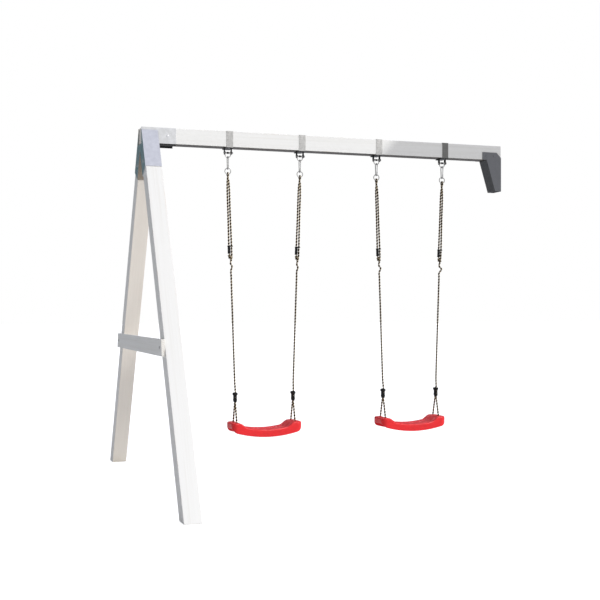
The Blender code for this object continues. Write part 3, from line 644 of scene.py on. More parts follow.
def frames(line):
    """Unit vectors across and up at each point of a line, without twist."""
    along = np.gradient(line, axis=0)
    along /= np.linalg.norm(along, axis=1)[:, None]
    start = np.cross(along[0], (0.0, 1.0, 0.0))
    if np.linalg.norm(start) < 0.1:
        start = np.cross(along[0], (1.0, 0.0, 0.0))
    across = [start / np.linalg.norm(start)]
    for way in along[1:]:
        side = across[-1] - way * np.dot(across[-1], way)
        across.append(side / np.linalg.norm(side))
    across = np.array(across)
    return across, np.cross(along, across)


def tube(line, outline, name, sharp=80):
    """A closed bar along a line; outline holds each ring's points, (rings, sides, 2)."""
    line = np.asarray(line, float)
    across, up = frames(line)
    rings = line[:, None] + outline[..., :1] * across[:, None] + outline[..., 1:] * up[:, None]
    count, sides = outline.shape[:2]
    names = np.arange(count * sides).reshape(count, sides)
    after = np.roll(names, -1, axis=1)
    faces = np.stack([names[:-1], after[:-1], after[1:], names[1:]], axis=2).reshape(-1, 4)
    faces = [*faces.tolist(), names[0, ::-1].tolist(), names[-1].tolist()]
    mesh = bpy.data.meshes.new(name)
    mesh.from_pydata(rings.reshape(-1, 3).tolist(), [], faces)
    return smoothed(mesh, sharp)


def wire(line, radius, sides=16):
    """A round bar along a line, with its ends rounded over."""
    line = spaced(line, WIRE_STEP)
    circle = np.array([(cos(turn), sin(turn)) for turn in turns_of(sides)]) * radius
    sizes = np.ones(len(line))
    sizes[[0, -1]] = 0.55
    sizes[[1, -2]] = 0.9
    return tube(line, circle[None] * sizes[:, None, None], "part")


def arc(centre, radius, start, end, steps):
    """Points on an arc in the Y-Z plane, by angles in degrees from +Y."""
    y, z = centre
    turns = [radians(start + (end - start) * k / steps) for k in range(steps + 1)]
    return [(0.0, y + radius * cos(turn), z + radius * sin(turn)) for turn in turns]


def smooth(route, samples=8):
    """A Catmull-Rom curve through the route's points."""
    spots = [Vector(spot) for spot in route]
    ends = [2 * spots[0] - spots[1], *spots, 2 * spots[-1] - spots[-2]]
    line = []
    for a, b, c, d in zip(ends, ends[1:], ends[2:], ends[3:]):
        knots = [0.0]
        for p, q in ((a, b), (b, c), (c, d)):
            knots.append(knots[-1] + sqrt((q - p).length))
        for k in range(samples):
            t = knots[1] + (knots[2] - knots[1]) * k / samples

            def between(p, q, start, end):
                return p.lerp(q, (t - knots[start]) / (knots[end] - knots[start]))

            ab, bc, cd = between(a, b, 0, 1), between(b, c, 1, 2), between(c, d, 2, 3)
            line.append(between(between(ab, bc, 0, 2), between(bc, cd, 1, 3), 1, 2))
    return [*line, spots[-1]]


# ---- timber ----
PAINTED_SHADE_FACES = {  # which way the faces in painted shade look, how closely, and how much painted shade they get
    "swing_beam": ((0, 0, -1), 0.9, 1.0),
    "front_leg": ((0, 1, 0), 0.5, 0.5),
    "back_leg": ((0, -1, 0), 0.5, 0.5),
}


def timber_mesh(node, along, start):
    """A timber's CAD shape, carrying its own grain coordinates and face marks."""
    mesh = mesh_of(merged(node), node, 50)
    along = Vector(along).normalized()
    across = along.cross(Vector((1, 0, 0)) if abs(along.x) < 0.5 else Vector((0, 1, 0)))
    across.normalize()
    third = along.cross(across)
    shift = (5 * start[1], 0.35, 0.2)  # so that no two timbers have the same grain
    grain = mesh.attributes.new("grain", "FLOAT_VECTOR", "POINT")
    for mark, vertex in zip(grain.data, mesh.vertices):
        away = vertex.co - Vector(start)
        mark.vector = [away.dot(way) + more for way, more in zip((along, across, third), shift)]
    mark_faces(mesh, "end", lambda face: abs(face.normal.dot(along)) > 0.7)
    mark_faces(mesh, "edge", lambda face: face.area < NARROW_FACE)
    # painted shade: faces looking one way get a share of it, such as the beam's underside
    way, least, share = PAINTED_SHADE_FACES.get(node, ((0, 0, 0), 1.0, 0.0))
    mark_faces(mesh, "painted_shade", lambda face: share * (face.normal.dot(Vector(way)) > least))
    return mesh


def build_timber():
    foot_front, foot_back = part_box("front_leg")[0].y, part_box("back_leg")[1].y
    left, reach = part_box("front_leg")[0].x, BEAM_HIGH_CORNER.z
    ways = {
        "swing_beam": ((1, 0, 0), BEAM_LOW_CORNER),
        "cross_tie": ((0, 1, 0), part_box("cross_tie")[0]),
        "front_leg": ((0, -foot_front, reach), (left, foot_front, 0.0)),
        "back_leg": ((0, -foot_back, reach), (left, foot_back, 0.0)),
    }
    for node, (along, start) in ways.items():
        flat_sided(stand_in(node, "timber", timber_mesh(node, along, start), "white_timber"))


# ---- fasteners ----
def dome(radius, height):
    """The head of a coach bolt, from -height to 0."""
    turns = (1.45, 1.2, 0.9, 0.6, 0.3, 0.1)
    profile = [(-height * sin(turn), radius * cos(turn)) for turn in turns]
    return lathe([*profile, (-0.0004, radius), (0.0, radius * 0.97)])


def nut(start):
    """A hexagon nut with chamfered corners, from start along +X."""
    across = BOLT_RADIUS * 3.2
    reach = across / sqrt(3)
    prism = lathe([(start, reach), (start + NUT_HEIGHT, reach)], sides=6)
    return softened(prism, across * 0.05)


def washer(radius, start):
    inner, end = BOLT_RADIUS + 0.0002, start + WASHER_HEIGHT
    profile = [(start, inner), *rim(start, end, radius, 0.0003), (end, inner), (start, inner)]
    return lathe(profile)


def shank(start, end):
    """A bolt's shank, with turned threads over its last stretch."""
    profile = [(start, BOLT_RADIUS)]
    spot = end - THREAD_LENGTH
    while spot < end - THREAD_PITCH:
        profile += [(spot, BOLT_RADIUS), (spot + THREAD_PITCH / 2, BOLT_RADIUS * THREAD_ROOT)]
        spot += THREAD_PITCH
    profile += [(end - 0.0005, BOLT_RADIUS * 0.93), (end, BOLT_RADIUS * 0.75)]
    return lathe(profile, sides=20)


def bolt_mesh(grip, proud, head, height, name="bolt", washered=True):
    """A bolt along +X from its head's seat at 0, with its nut beyond the grip."""
    parts = [dome(head, height), shank(-0.0005, grip + proud)]
    if washered:
        parts.append(washer(head + 0.0005, grip))
        grip += WASHER_HEIGHT
    return together([*parts, nut(grip)], name)


def screw_mesh():
    """A pan-head screw's head, pointing down -Z from 0, with a crossed recess."""
    profile = [(0.0, SCREW_RADIUS)]
    for turn in (0.15, 0.4, 0.7, 1.0, 1.25, 1.45):
        profile.append((-SCREW_HEAD * sin(turn), SCREW_RADIUS * cos(turn) ** 0.6))
    wide, deep = SCREW_RADIUS * 0.55, SCREW_RADIUS * 0.13
    outline = [(-wide, -deep), (wide, -deep), (wide, deep), (-wide, deep)]
    slots = []
    for turn in (0.0, pi / 2):
        levels = (-1.5 * SCREW_HEAD, -0.5 * SCREW_HEAD)
        slot = loft([[(x, y, level) for x, y in outline] for level in levels])
        slots.append(turned(slot, turn, "Z"))
    return shaped(lathe(profile, "Z", 24), slots, "DIFFERENCE", "screw")


def build_bolts():
    """The timbers' bolts along X, and those through the brackets along Y."""
    bolts = {
        f"{kind}_{word}": (0, LEG_BOLT_PROUD, LOW_HEAD, "zinc_steel")
        for word in ("front", "back")
        for kind in ("tie_bolt", "corner_leg_bolt")
    }
    bolts["corner_beam_bolt"] = (1, CROSS_BOLT_PROUD, FLUSH_HEAD, "coated_steel")
    for word in ("near", "far"):
        bolts[f"tower_bolt_{word}"] = (1, CROSS_BOLT_PROUD, LOW_HEAD, "dark_steel")
    for node, (axis, proud, height, slot) in bolts.items():
        low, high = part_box(node)
        grip = high[axis] - low[axis] - HEAD_HEIGHT - proud
        spot = (low + high) / 2
        spot[axis] = low[axis] + HEAD_HEIGHT
        mesh = bolt_mesh(grip, proud, (high.z - low.z) / 2, height)
        stand_in(node, "set", mesh, slot, spot=spot, turn=(0, 0, axis * pi / 2))


# ---- brackets ----
def saddle_mesh():
    """A shallow steel channel under the beam, from the legs to the end of the bracket. Shown black,
    it is painted shade: a dark strip where shade falls under the bracket.
    """
    start = BEAM_LOW_CORNER.x + LEG_WIDTH + 0.004
    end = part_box("corner_bracket_front")[1].x - 0.002
    half, deep, thick = 0.0435, 0.012, 0.0025
    top = BEAM_LOW_CORNER.z - GAP
    outline = [(-half, 0), (half, 0), (half, -deep), (half - thick, -deep), (half - thick, -thick)]
    outline += [(thick - half, -thick), (thick - half, -deep), (-half, -deep)]
    channel = loft([[(x, y, top + z) for y, z in outline] for x in (start, end)], "saddle")
    return softened(channel, 0.0005)


def build_brackets():
    for word, inward in (("front", 1), ("back", -1)):
        node = f"corner_bracket_{word}"
        mesh = refined(node, BEND_EDGE)
        # painted shade, with a painted brown reflection of the wood: the sheet's faces towards the
        # gap between the legs
        mark_faces(mesh, "inner", lambda face: face.normal.y * inward > 0.5)
        flat_sided(stand_in(node, "sheet", mesh, "coated_steel"))
    # painted shade: the black strip under the bracket
    flat_sided(piece("corner_saddle_strip", saddle_mesh(), "black_steel"))
    mesh = refined("tower_bracket", BEND_EDGE)
    # painted shade: the tower bracket's web faces towards -X
    mark_faces(mesh, "inner", lambda face: face.normal.x < -0.3)
    flat_sided(stand_in("tower_bracket", "sheet", mesh, "dark_steel"))


# ---- hangers ----
def bush_mesh():
    """A turned bush, waisted between its two flanges."""
    half, bore, soft = BUSH_LENGTH / 2, BOLT_RADIUS + PLAY, 0.0004
    left = [(-half, bore), (-half, BUSH_RADIUS - soft), (-half + soft, BUSH_RADIUS)]
    left += [(-half + 0.0018, BUSH_RADIUS), (-half + 0.0022, BUSH_RADIUS - 0.0009)]
    return lathe(mirrored(left), sides=32, name="bush")


def eye_mesh(middle):
    """A forged eye at an end of the bow, with rounded rims and a chamfered bore."""
    half, bore = EYE_WIDTH / 2, BOLT_RADIUS + PLAY
    soft = 0.0009
    right = [(half - PLAY, bore), (half, bore + PLAY), (half, EYE_RADIUS - soft)]
    right += [(half - soft * 0.3, EYE_RADIUS - soft * 0.3), (half - soft, EYE_RADIUS)]
    return moved(lathe(mirrored(right), sides=32), x=middle)


def bow_mesh():
    """A stirrup of round bar, with a forged eye at each end."""
    half, start = BOW_HALF_WIDTH, -EYE_RADIUS + 0.0015
    bend = [(y, 0.0, z) for _, y, z in arc((0.0, BOW_BOTTOM + half), half, 180, 360, 32)]
    bar = wire([(-half, 0.0, start), *bend, (half, 0.0, start)], BOW_WIRE)
    return together([bar, eye_mesh(-half), eye_mesh(half)], "bow")


HOOK_UPPER = HOOK_TOP - HOOK_TOP_RADIUS  # the centres of the hook's two bends
HOOK_LOWER = HOOK_LOW + HOOK_LOW_RADIUS


def hook_side(height):
    """The middle of the hook's gated side at a height."""
    share = (HOOK_UPPER - height) / (HOOK_UPPER - HOOK_LOWER)
    across = HOOK_TOP_RADIUS + (HOOK_LOW_RADIUS - HOOK_TOP_RADIUS) * share
    return (0.0, -across, height)


def hook_mesh():
    """A snap hook's body: an open loop, a stepped nose, and a rivet at the gate's pivot."""
    line = [
        hook_side(GATE_TOP + 2 * GAP),
        *arc((0.0, HOOK_UPPER), HOOK_TOP_RADIUS, 180, 0, 32),
        *arc((0.0, HOOK_LOWER), HOOK_LOW_RADIUS, 0, -180, 32),
        hook_side(GATE_LOW - 4 * GAP),
    ]
    pin = HOOK_WIRE + 0.0008
    profile = [(-pin, 0.0007), (-pin + 0.0004, 0.0013), (pin - 0.0004, 0.0013), (pin, 0.0007)]
    rivet = moved(lathe(profile, sides=14), *hook_side(GATE_LOW))
    return together([wire(line, HOOK_WIRE, 18), rivet], "hook")


def gate_mesh():
    """The gate: a sprung bar with a collar at its pivot and a notched tip."""
    way = Vector(hook_side(GATE_TOP)) - Vector(hook_side(GATE_LOW))
    size, neck = way.length, GATE_WIRE * 0.86
    bar = [(0.0, GATE_WIRE * 0.6), (0.0005, GATE_WIRE * 0.94), (0.0012, GATE_WIRE)]
    bar += [(0.0060, GATE_WIRE), (0.0066, neck), (size - 0.0050, neck)]
    bar += [(size - 0.0044, GATE_WIRE), (size - 0.0010, GATE_WIRE)]
    bar += [(size - 0.0003, GATE_WIRE * 0.85), (size, GATE_WIRE * 0.5)]
    return turned(lathe(bar, "Z", 18, "gate"), -atan2(way.y, way.z), "X")


def ring_mesh():
    """A welded ring: round bar with a slight bead where its ends meet."""
    weld_at, weld_width, weld_height = 0.9, 0.07, 0.13
    rings = []
    for turn in turns_of(72):
        away = min(abs(turn - weld_at), 1.0)
        radius = RING_WIRE * (1 + weld_height * exp(-((away / weld_width) ** 2)))
        ring = []
        for side in turns_of(16):
            reach = RING_RADIUS + radius * cos(side)
            ring.append((reach * cos(turn), radius * sin(side), reach * sin(turn)))
        rings.append(ring)
    return moved(loft(rings, "ring", closed=True, sharp=80), z=RING_CENTRE)


def hanger_bolt_mesh():
    length = CHEEK_OUTSIDE + 2 * GAP
    head = (HANGER_HEAD_RADIUS, HEAD_HEIGHT)
    return moved(bolt_mesh(length, CROSS_BOLT_PROUD, *head, washered=False), x=-length / 2)


def build_hangers():
    bolt, bush, screw = hanger_bolt_mesh(), bush_mesh(), screw_mesh()
    strap, bracket = refined("hanger_strap_1", STRAP_EDGE), refined("hanger_bracket_1", STRAP_EDGE)
    for mesh in (strap, bracket):
        moved(mesh, x=-HANGERS[0], z=-PIN_HEIGHT)
    for number, along in enumerate(HANGERS, 1):
        spot = (along, 0, PIN_HEIGHT)
        # painted shadow: one strap takes the darkened zinc
        look = SHADED_ZINC if number == SHADED_STRAP else None
        band = stand_in(
            f"hanger_strap_{number}", "band", strap.copy(), "zinc_steel", spot=spot, look=look
        )
        flat_sided(band)
        flat_sided(stand_in(f"hanger_bracket_{number}", "sheet", bracket, "black_steel", spot=spot))
        stand_in(f"hanger_bolt_{number}", "set", bolt, "zinc_steel", spot=spot)
        stand_in(f"hanger_bush_{number}", "turned", bush, "black_plastic", spot=spot)
        low = PIN_HEIGHT + HANGER_PLATE_TOP - SHEET
        for side, word in ((-1, "front"), (1, "back")):
            place = (along, side * SCREW_REACH, low)
            piece(f"hanger_screw_{number}_{word}", screw, "zinc_steel", spot=place)


# ---- rope ----
def rope_line(height, inward):
    """The rope's sideways place at a height, from its hanger's pin."""
    top = PIN_HEIGHT + RING_LOW
    share = (top - height) / (top - CLIP_TOP)
    return inward * min(max(share, 0.0), 1.0)


def knot_route(at):
    """A stopper knot: the free end coils round its own strand, which comes out on top."""
    top = Vector(at(KNOT_HEIGHT + KNOT_HALF, -0.0070, -0.0045))
    low = Vector(at(KNOT_HEIGHT - KNOT_HALF, -0.0030, -0.0125))
    axis = (top - low).normalized()
    side = axis.cross(Vector((0, 1, 0))).normalized()
    front = axis.cross(side)
    middle = (top + low) / 2
    height = KNOT_RISE * KNOT_TURNS
    coil = []
    steps = int(KNOT_TURNS * 10)
    for k in range(steps + 1):
        turn = -tau * KNOT_TURNS * k / steps
        reach = side * cos(turn) + front * sin(turn)
        coil.append(middle + reach * KNOT_COIL + axis * height * (0.5 - k / steps))
    last = coil[-1] - middle - axis * (coil[-1] - middle).dot(axis)
    under = middle + last * 0.45 - axis * (height * 0.5 + 0.0062)
    tail = coil[0] + (coil[0] - coil[1]).normalized() * 0.008 + axis * 0.003
    return [tail, *coil, under, low + axis * 0.006, middle, top]


def rope_route(inward, kink):
    """The rope's middle line, from its knotted end to the end in the clip."""

    def at(height, aside=0.0, across=0.0):
        return (rope_line(height, inward) + aside, across, height - PIN_HEIGHT)

    bend = PIN_HEIGHT + RING_LOW
    doubled = [
        (ADJUSTER_LOW + 0.010, PAIR_OFFSET, 0.0),
        (ADJUSTER_TOP - 0.010, PAIR_OFFSET, 0.0),
        (ADJUSTER_TOP + 0.020, PAIR_OFFSET, 0.0),
        (DOUBLED_CLOSE, TOUCHING, 0.0),
        (bend - 0.080, TOUCHING, 0.0012),
        (bend - 0.035, 0.0050, 0.0060),
        (bend - 0.014, 0.0010, BIGHT_RADIUS),
    ]
    single = [
        at(KNOT_HEIGHT + 0.010, PAIR_OFFSET + 0.0010, 0.0045),
        at(KNOT_HEIGHT - 0.010, PAIR_OFFSET - 0.0010, 0.0050),
        at(KNOT_HEIGHT - 0.033, -0.0010, 0.0010),
        at(KNOT_HEIGHT - 0.055, kink),
        at(KNOT_HEIGHT - 0.077),
        at(KNOT_HEIGHT - 0.110),
        at(CLIP_TOP + 0.110),
        at(CLIP_TOP + 0.060, 0.0, -0.0010),
        at(CLIP_TOP + 0.014, 0.0, -CLIP_OFFSET),
        at(CLIP_TOP - 0.012, 0.0, -CLIP_OFFSET),
    ]
    plate = SEAT_EAR - SEAT_WALL
    front = [
        at(CLIP_LOW + 0.010, 0.0, -CLIP_OFFSET),
        at(CLIP_LOW - 0.004, 0.0, -CLIP_OFFSET - 0.0005),
        at(CLIP_LOW - 0.024, 0.0, -SPLIT_REACH),
        at(SEAT_EAR + 0.020, 0.0, -STRAND_Y + 0.0050),
        at(plate + 0.002, 0.0, -STRAND_Y),
        at(plate - 0.011, 0.0, -STRAND_Y + 0.0045),
        at(plate - 0.016, 0.0, -STRAND_Y + 0.0170),
    ]
    return [
        *knot_route(at),
        at(ADJUSTER_LOW + 0.004, -PAIR_OFFSET, -0.0004),
        *[at(height, -aside, -across) for height, aside, across in doubled],
        *arc((0.0, RING_LOW), BIGHT_RADIUS, 180, 0, 8),
        *[at(*spot) for spot in reversed(doubled)],
        *single,
        *front,
        at(plate - 0.015),
        *[(x, -y, z) for x, y, z in reversed(front)],
        at(CLIP_TOP - 0.008, 0.0, CLIP_OFFSET),
    ]


def lobes():
    """Angles and radii round one section of laid rope, from groove to groove."""
    asides = np.tile(2 * np.arange(LOBE_POINTS) / LOBE_POINTS - 1, STRANDS)
    turns = asides * pi / STRANDS
    swell = STRAND_RADIUS**2 - (STRAND_OFFSET * np.sin(turns)) ** 2
    reach = STRAND_OFFSET * np.cos(turns) + np.sqrt(np.maximum(swell, 0.0))
    angles = tau * np.repeat(np.arange(STRANDS), LOBE_POINTS) / STRANDS + turns
    return angles, np.maximum(reach, GROOVE_FLOOR), asides


def mark_lay(mesh, runs, asides, depth):
    """Each face corner's place across its strand, along the rope, and into the groove."""
    next_depth, next_aside = np.roll(depth, -1), asides + 2 / LOBE_POINTS
    corners = np.zeros((len(runs) - 1, len(asides), 4, 3), np.float32)
    corners[..., 0] = np.stack([asides, next_aside, next_aside, asides], axis=1)
    corners[..., 1] = np.stack([runs[:-1], runs[:-1], runs[1:], runs[1:]], axis=1)[:, None]
    corners[..., 2] = np.stack([depth, next_depth, next_depth, depth], axis=1)
    caps = np.tile(np.float32((0.0, 0.0, 0.3)), 2 * len(asides))
    lay = mesh.attributes.new("lay", "FLOAT_VECTOR", "CORNER")
    lay.data.foreach_set("vector", np.concatenate([corners.ravel(), caps]))


def rope_mesh(inward, kink, name):
    """A laid rope as one skin, and the line that it follows."""
    line = spaced(smooth(rope_route(inward, kink)), ROPE_STEP)
    runs = lengths_along(line)
    angles, radii, asides = lobes()
    sizes = np.interp(runs, (KNOT_ROPE, KNOT_ROPE + KNOT_EASING), (KNOT_SQUEEZE, 1.0))
    for k, share in enumerate((0.35, 0.72, 0.92)):
        sizes[k] *= share
        sizes[-1 - k] *= share
    turns = angles[None] + (tau * runs / ROPE_PITCH)[:, None]
    reach = radii[None] * sizes[:, None]
    outline = np.stack([reach * np.cos(turns), reach * np.sin(turns)], axis=2)
    mesh = tube(line, outline, name, 180)
    mark_lay(mesh, runs, asides, (ROPE_RADIUS - radii) / (ROPE_RADIUS - GROOVE_FLOOR))
    return mesh, line


def sleeve(outer, low, high):
    """A short turned sleeve along Z: outer lists heights and radii, from low to high."""
    bore = ADJUSTER_BORE
    return lathe([(low, bore), *outer, (high, bore), (low, bore)], "Z", 32)


def adjuster_mesh():
    """A flanged sleeve on the free strand, with an eye round the main one."""
    height, soft = ADJUSTER_TOP - ADJUSTER_LOW, 0.0006
    low, middle, top = (0.0, 0.005), (0.0125, 0.0155), (height - 0.007, height)
    outer = [
        *rim(*low, ADJUSTER_FLANGE, soft),
        (low[1], ADJUSTER_BODY),
        (middle[0], ADJUSTER_BODY),
        *rim(*middle, ADJUSTER_EYE, soft),
        (middle[1], ADJUSTER_BODY),
        (top[0], ADJUSTER_BODY),
        *rim(*top, ADJUSTER_FLANGE, soft),
    ]
    body = moved(sleeve(outer, 0.0, height), x=-PAIR_OFFSET)
    low, high = height - 0.0065, height - 0.0015
    eye = moved(sleeve(rim(low, high, ADJUSTER_EYE, soft), low, high), x=PAIR_OFFSET)
    return together([body, eye], "adjuster")


def clip_mesh():
    """A two-hole clamp: flanged at the top, tapered below, with windows on the ropes."""
    height = CLIP_TOP - CLIP_LOW
    profile = [(0.0, 0.0072), (0.0006, 0.0080), (0.010, 0.0098), (0.0106, 0.0108)]
    profile += [(0.0114, 0.0110), (0.0152, 0.0110), (0.0160, 0.0106), (0.0168, CLIP_BODY)]
    profile += [(height - 0.0170, CLIP_BODY), (height - 0.0140, 0.0124), (height - 0.0100, 0.0142)]
    profile += [(height - 0.0060, CLIP_FLANGE), (height - 0.0030, 0.0138)]
    profile += [(height - 0.0008, 0.0110), (height, 0.0098)]
    loops = []
    for level, radius in profile:
        spots = [(radius * cos(turn), radius * sin(turn)) for turn in turns_of(40, 0.5)]
        loops.append([(x, y + copysign(CLIP_OFFSET, y), level) for x, y in spots])
    body = loft(loops)
    tools = []
    for side in (-1, 1):
        bore = lathe([(-0.01, CLIP_BORE), (height + 0.01, CLIP_BORE)], "Z")
        tools.append(moved(bore, y=side * CLIP_OFFSET))
    reach, window = CLIP_OFFSET + CLIP_FLANGE + 0.002, 0.0026
    for level in CLIP_WINDOWS:
        hole = lathe([(-reach, window), (reach, window)], "Y", 16)
        hole.transform(Matrix.Diagonal((1.25, 1.0, 1.0, 1.0)))
        tools.append(moved(hole, z=level))
    return shaped(body, tools, "DIFFERENCE", "clip", 30)


# ---- seat ----
def ramp(value, low, high):
    share = min(max((value - low) / (high - low), 0.0), 1.0)
    return share * share * (3 - 2 * share)


def seat_low(x):
    """The seat's lower edge: a shallow arc that turns up at each end."""
    past = max(abs(x) - (SEAT_HALF_LENGTH - SEAT_END_ROUND), 0.0)
    turn_up = SEAT_END_ROUND - sqrt(SEAT_END_ROUND**2 - min(past, SEAT_END_ROUND) ** 2)
    return SEAT_BOTTOM + SEAT_END_RISE * (x / SEAT_HALF_LENGTH) ** 2 + turn_up


def seat_top(x, y):
    """The height of the seat's upper face: a shallow dish between two raised ends."""
    sag = SEAT_SAG * max(1 - (x / EAR_INNER) ** 2, 0.0)
    ear = ramp(abs(x), EAR_INNER, EAR_OUTER)
    across = abs(y) / SEAT_HALF_DEPTH
    dish = SEAT_DISH * (1 - ear) * (1 - ramp(across, 0.38, 0.88))
    return SEAT_RIM - sag + (SEAT_EAR - SEAT_RIM) * ear - dish


def plan_sides(inset):
    """The seat's front edge in plan, from its left end to its right, at an inset."""
    corner = SEAT_CORNER - inset
    straight, deep = SEAT_HALF_LENGTH - SEAT_CORNER, SEAT_HALF_DEPTH - SEAT_CORNER
    spots = []
    for k in range(CORNER_STEPS):
        turn = pi / 2 * k / CORNER_STEPS
        spots.append((-straight - corner * cos(turn), -deep - corner * sin(turn)))
    for k in range(SIDE_STEPS + 1):
        spots.append((straight * (2 * k / SIDE_STEPS - 1), -(SEAT_HALF_DEPTH - inset)))
    return spots + [(-x, y) for x, y in reversed(spots[:CORNER_STEPS])]


def plan_ring(inset):
    """The whole edge in plan: along the front, across the right end, and back."""
    front = plan_sides(inset)
    x, y = front[-1]
    end = [(x, y * (1 - 2 * k / END_STEPS)) for k in range(1, END_STEPS)]
    back = [(x, -y) for x, y in reversed(front)]
    return [*front, *end, *back, *[(-x, y) for x, y in reversed(end)]]


def seat_skin(inset):
    """Loops of one skin from its foot up its sides, and the grid across its top."""
    lip = SEAT_LIP - inset
    loops = []
    for share in (0.0, 0.25, 0.5, 0.75, 1.0):
        loop = []
        for x, y in plan_ring(inset):
            low, high = seat_low(x) + FOOT_ROUND, seat_top(x, y) - inset - lip
            loop.append((x, y, low + (high - low) * share))
        loops.append(loop)
    for k in range(1, LIP_STEPS + 1):
        turn = pi / 2 * k / LIP_STEPS
        inside = inset + lip * (1 - cos(turn))
        drop = inset + lip * (1 - sin(turn))
        loops.append([(x, y, seat_top(x, y) - drop) for x, y in plan_ring(inside)])
    grid = []
    for x, y in plan_sides(inset + lip):
        column = [(x, y * (1 - 2 * k / END_STEPS)) for k in range(END_STEPS + 1)]
        grid.append([(x, across, seat_top(x, across) - inset) for x, across in column])
    return loops, grid


def skin_faces(build, loops, grid):
    """Faces up a skin's loops and over its top; gives back its foot's vertices."""
    rings = [[build.verts.new(spot) for spot in loop] for loop in loops]
    bridge(build, rings)
    edge, columns = rings[-1], len(grid)
    back = columns + END_STEPS - 1  # where the edge turns back along the other side
    inside = [[build.verts.new(spot) for spot in column[1:-1]] for column in grid[1:-1]]
    inside = [edge[back + columns :][::-1], *inside, edge[columns:back]]
    far = edge[back : back + columns][::-1]
    table = [[first, *row, last] for first, row, last in zip(edge, inside, far)]
    for left, right in zip(table, table[1:]):
        for j in range(END_STEPS):
            build.faces.new((left[j], right[j], right[j + 1], left[j + 1]))
    return rings[0]


def rib_mesh(start, end):
    """A shallow stiffening rib that follows the seat's upper wall from below."""
    start, end = Vector(start), Vector(end)
    side = (end - start).orthogonal().normalized() * RIB_HALF_WIDTH
    loops = []
    for k in range(RIB_STEPS + 1):
        spot = start.lerp(end, k / RIB_STEPS)
        top = seat_top(*spot) - SEAT_WALL / 2
        low = top - RIB_DEPTH
        corners = [(spot + side, top), (spot - side, top), (spot - side, low), (spot + side, low)]
        loops.append([(*where, height) for where, height in corners])
    return loft(loops)


def collar_and_hole(x, y):
    """The raised collar under one rope hole, and the hole's own cutter."""
    plate, outside = SEAT_EAR - SEAT_WALL, HOLE_RADIUS + COLLAR_WIDTH
    profile = [(-0.002, outside), (0.0, outside), (0.0052, outside - 0.0004)]
    profile.append((0.0060, outside - 0.0014))
    collar = moved(lathe(profile, "Z", 32), x, y, plate - 0.001)
    hole = lathe([(-0.03, HOLE_RADIUS), (0.03, HOLE_RADIUS)], "Z", 32)
    return collar, moved(hole, x, y, plate)


def seat_mesh():
    """A moulded shell, open below, with a rounded foot, rope holes, lips and ribs."""
    build = bmesh.new()
    outer = skin_faces(build, *seat_skin(0.0))
    inner = skin_faces(build, *seat_skin(SEAT_WALL))
    feet = [outer]
    for share in (0.3, 0.7):
        ring = plan_ring(SEAT_WALL * share)
        feet.append([build.verts.new((x, y, seat_low(x))) for x, y in ring])
    bridge(build, [*feet, inner])
    shell = mesh_of(build, "seat", 40)
    places = [(side * STRAND_X, face * STRAND_Y) for side in (-1, 1) for face in (-1, 1)]
    collars, holes = zip(*[collar_and_hole(*place) for place in places])
    ribs = [rib_mesh((x, -CROSS_RIB_REACH), (x, CROSS_RIB_REACH)) for x in CROSS_RIBS]
    ribs += [rib_mesh((-LONG_RIB_REACH, y), (LONG_RIB_REACH, y)) for y in LONG_RIBS]
    shell = shaped(shell, [*collars, *ribs], "UNION", "seat", 40)
    return shaped(shell, holes, "DIFFERENCE", "seat", 40)


# ---- swings ----
def build_rope(number, along, inward, body):
    """One rope, on its swing's body, standing for its CAD node."""
    spot = (along, 0, PIN_HEIGHT)
    mesh, line = rope_mesh(inward, KINKS[number - 1], f"rope_{number}")
    rope = stand_in(f"rope_{number}", "laid", mesh, "hemp_rope", body, spot=spot)


def build_swings():
    bow, hook, gate, ring = bow_mesh(), hook_mesh(), gate_mesh(), ring_mesh()
    adjuster, clip, seat = adjuster_mesh(), clip_mesh(), seat_mesh()
    _, pivot_y, pivot_z = hook_side(GATE_LOW)
    for word, numbers in SWINGS.items():
        body = f"{word}_swing"
        middle = sum(HANGERS[number - 1] for number in numbers) / 2
        for number in numbers:
            along = HANGERS[number - 1]
            inward = copysign(INWARD, middle - along)
            spot = (along, 0, PIN_HEIGHT)
            stand_in(f"hanger_bow_{number}", "bar", bow, "zinc_steel", body, spot=spot)
            stand_in(f"snap_hook_{number}", "body", hook, "zinc_steel", body, spot=spot)
            hinge = (along, pivot_y, PIN_HEIGHT + pivot_z)
            stand_in(f"snap_gate_{number}", "bar", gate, "zinc_steel", f"gate_{number}", spot=hinge)
            stand_in(f"rope_ring_{number}", "bar", ring, "zinc_steel", body, spot=spot)
            build_rope(number, along, inward, body)
            low = (along + rope_line(ADJUSTER_LOW, inward), 0, ADJUSTER_LOW)
            tilt = (0, atan2(-inward, PIN_HEIGHT + RING_LOW - CLIP_TOP), 0)
            node = f"rope_adjuster_{number}"
            stand_in(node, "sleeve", adjuster, "black_plastic", body, spot=low, turn=tilt)
            low = (along + inward, 0, CLIP_LOW)
            stand_in(f"rope_clip_{number}", "clamp", clip, "black_plastic", body, spot=low)
        stand_in(f"{word}_seat", "shell", seat, "red_plastic", body, spot=(middle, 0, 0))


# ---- studio ----
def build_camera():
    """A level camera, fitted to the photo's straight edges."""
    lens = bpy.data.cameras.new("camera")
    lens.lens = CAMERA_LENS
    lens.sensor_width = 36.0
    lens.shift_y = CAMERA_SHIFT
    level = radians(90)
    camera = placed("camera", lens, CAMERA_AT, (level, 0, radians(CAMERA_TURN)))
    bpy.context.scene.camera = camera


def studio_card(name, corners):
    """A flat card with four corners, on no body."""
    mesh = bpy.data.meshes.new(name)
    mesh.from_pydata(corners, [], [(0, 1, 2, 3)])
    card = placed(name, mesh)
    return card


def build_floor():
    reach = FLOOR_REACH
    corners = [(-reach, -reach, 0), (reach, -reach, 0), (reach, reach, 0), (-reach, reach, 0)]
    studio_card("floor", corners).data.materials.append(floor_look())


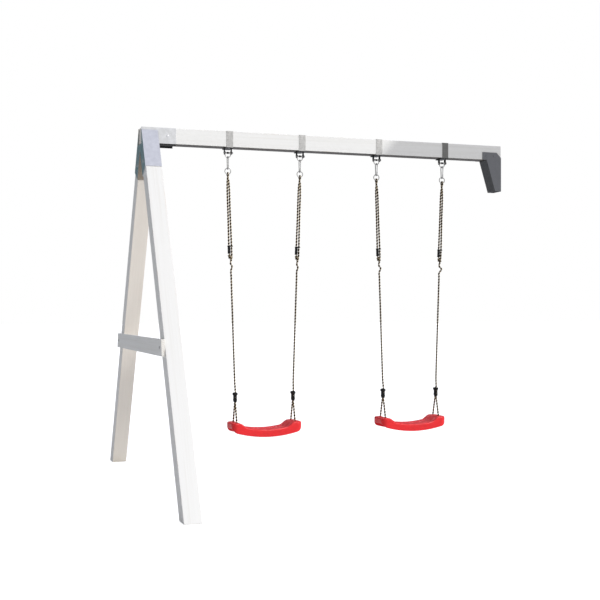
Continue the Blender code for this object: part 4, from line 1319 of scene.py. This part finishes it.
def build_flag():
    """A card beside the key light: its soft slanted shadow falls on the beam's right part."""
    toward = Vector(KEY_FROM).normalized() * FLAG_AWAY
    flag = studio_card("flag", [Vector(corner) + toward for corner in FLAG_SHADOW])
    flag.visible_camera = flag.visible_glossy = flag.visible_diffuse = False


def build_world():
    """A studio of soft walls: bright before the object, lavender overhead, dark to the left."""
    world = bpy.data.worlds.new("studio")
    bpy.context.scene.world = world
    world.use_nodes = True
    sky = Nodes(world.node_tree)
    spot = sky.node("ShaderNodeTexCoord").outputs["Generated"]
    x, y, z = sky.node("ShaderNodeSeparateXYZ", Vector=spot).outputs
    before = sky.ranged(y, 0.55, -0.45)
    behind = sky.mixed(sky.ranged(z, 0.75, 0.15), (0.42, 0.44, 0.50), (0.060, 0.132, 0.148))
    tone = sky.mixed(before, behind, (0.86, 0.86, 0.85))
    tone = sky.mixed(sky.ranged(z, 0.35, 0.80), tone, (0.70, 0.72, 0.84))
    tone = sky.mixed(sky.ranged(x, -0.25, -0.90, 0.0, 0.86), tone, (0.08, 0.08, 0.078))
    seen = sky.node("ShaderNodeLightPath").outputs["Is Camera Ray"]
    back = sky.tree.nodes["Background"]
    sky.tree.links.new(sky.mixed(seen, tone, (1.0, 1.0, 1.0)), back.inputs["Color"])


def sun(name, energy, softness, place, only=()):
    """A sun lamp that shines from a place; it lights only some pieces if any are named."""
    lamp = bpy.data.lights.new(name, "SUN")
    lamp.energy = energy
    lamp.angle = radians(softness)
    light = placed(name, lamp, turn=Vector(place).to_track_quat("Z", "Y").to_euler())
    if only:
        lit = bpy.data.collections.new(f"{name}_on")
        for piece_name in only:
            lit.objects.link(bpy.data.objects[piece_name])
        light.light_linking.receiver_collection = lit
        light.light_linking.blocker_collection = lit
    return light


def build_lights():
    """A key light, a fill from behind, a shine for the seats, and a rim for the ropes."""
    sun("key", 1.75, 8, KEY_FROM)
    sun("fill_behind", 0.95, 25, (0.15, 0.90, 0.42)).visible_glossy = False
    seats = [f"{word}_seat_shell" for word in SWINGS]
    sun("shine", 3.0, 24, (0.10, -0.50, 0.86), seats).visible_diffuse = False
    ropes = [f"rope_{number}_laid" for number in range(1, 5)]
    sun("rope_rim", 3.5, 4, (0.93, -0.25, 0.28), ropes)


bpy.context.scene.view_settings.view_transform = "Standard"
build_camera()
build_swings()
build_timber()
build_brackets()
build_bolts()
build_hangers()
build_floor()
build_world()
build_flag()
build_lights()
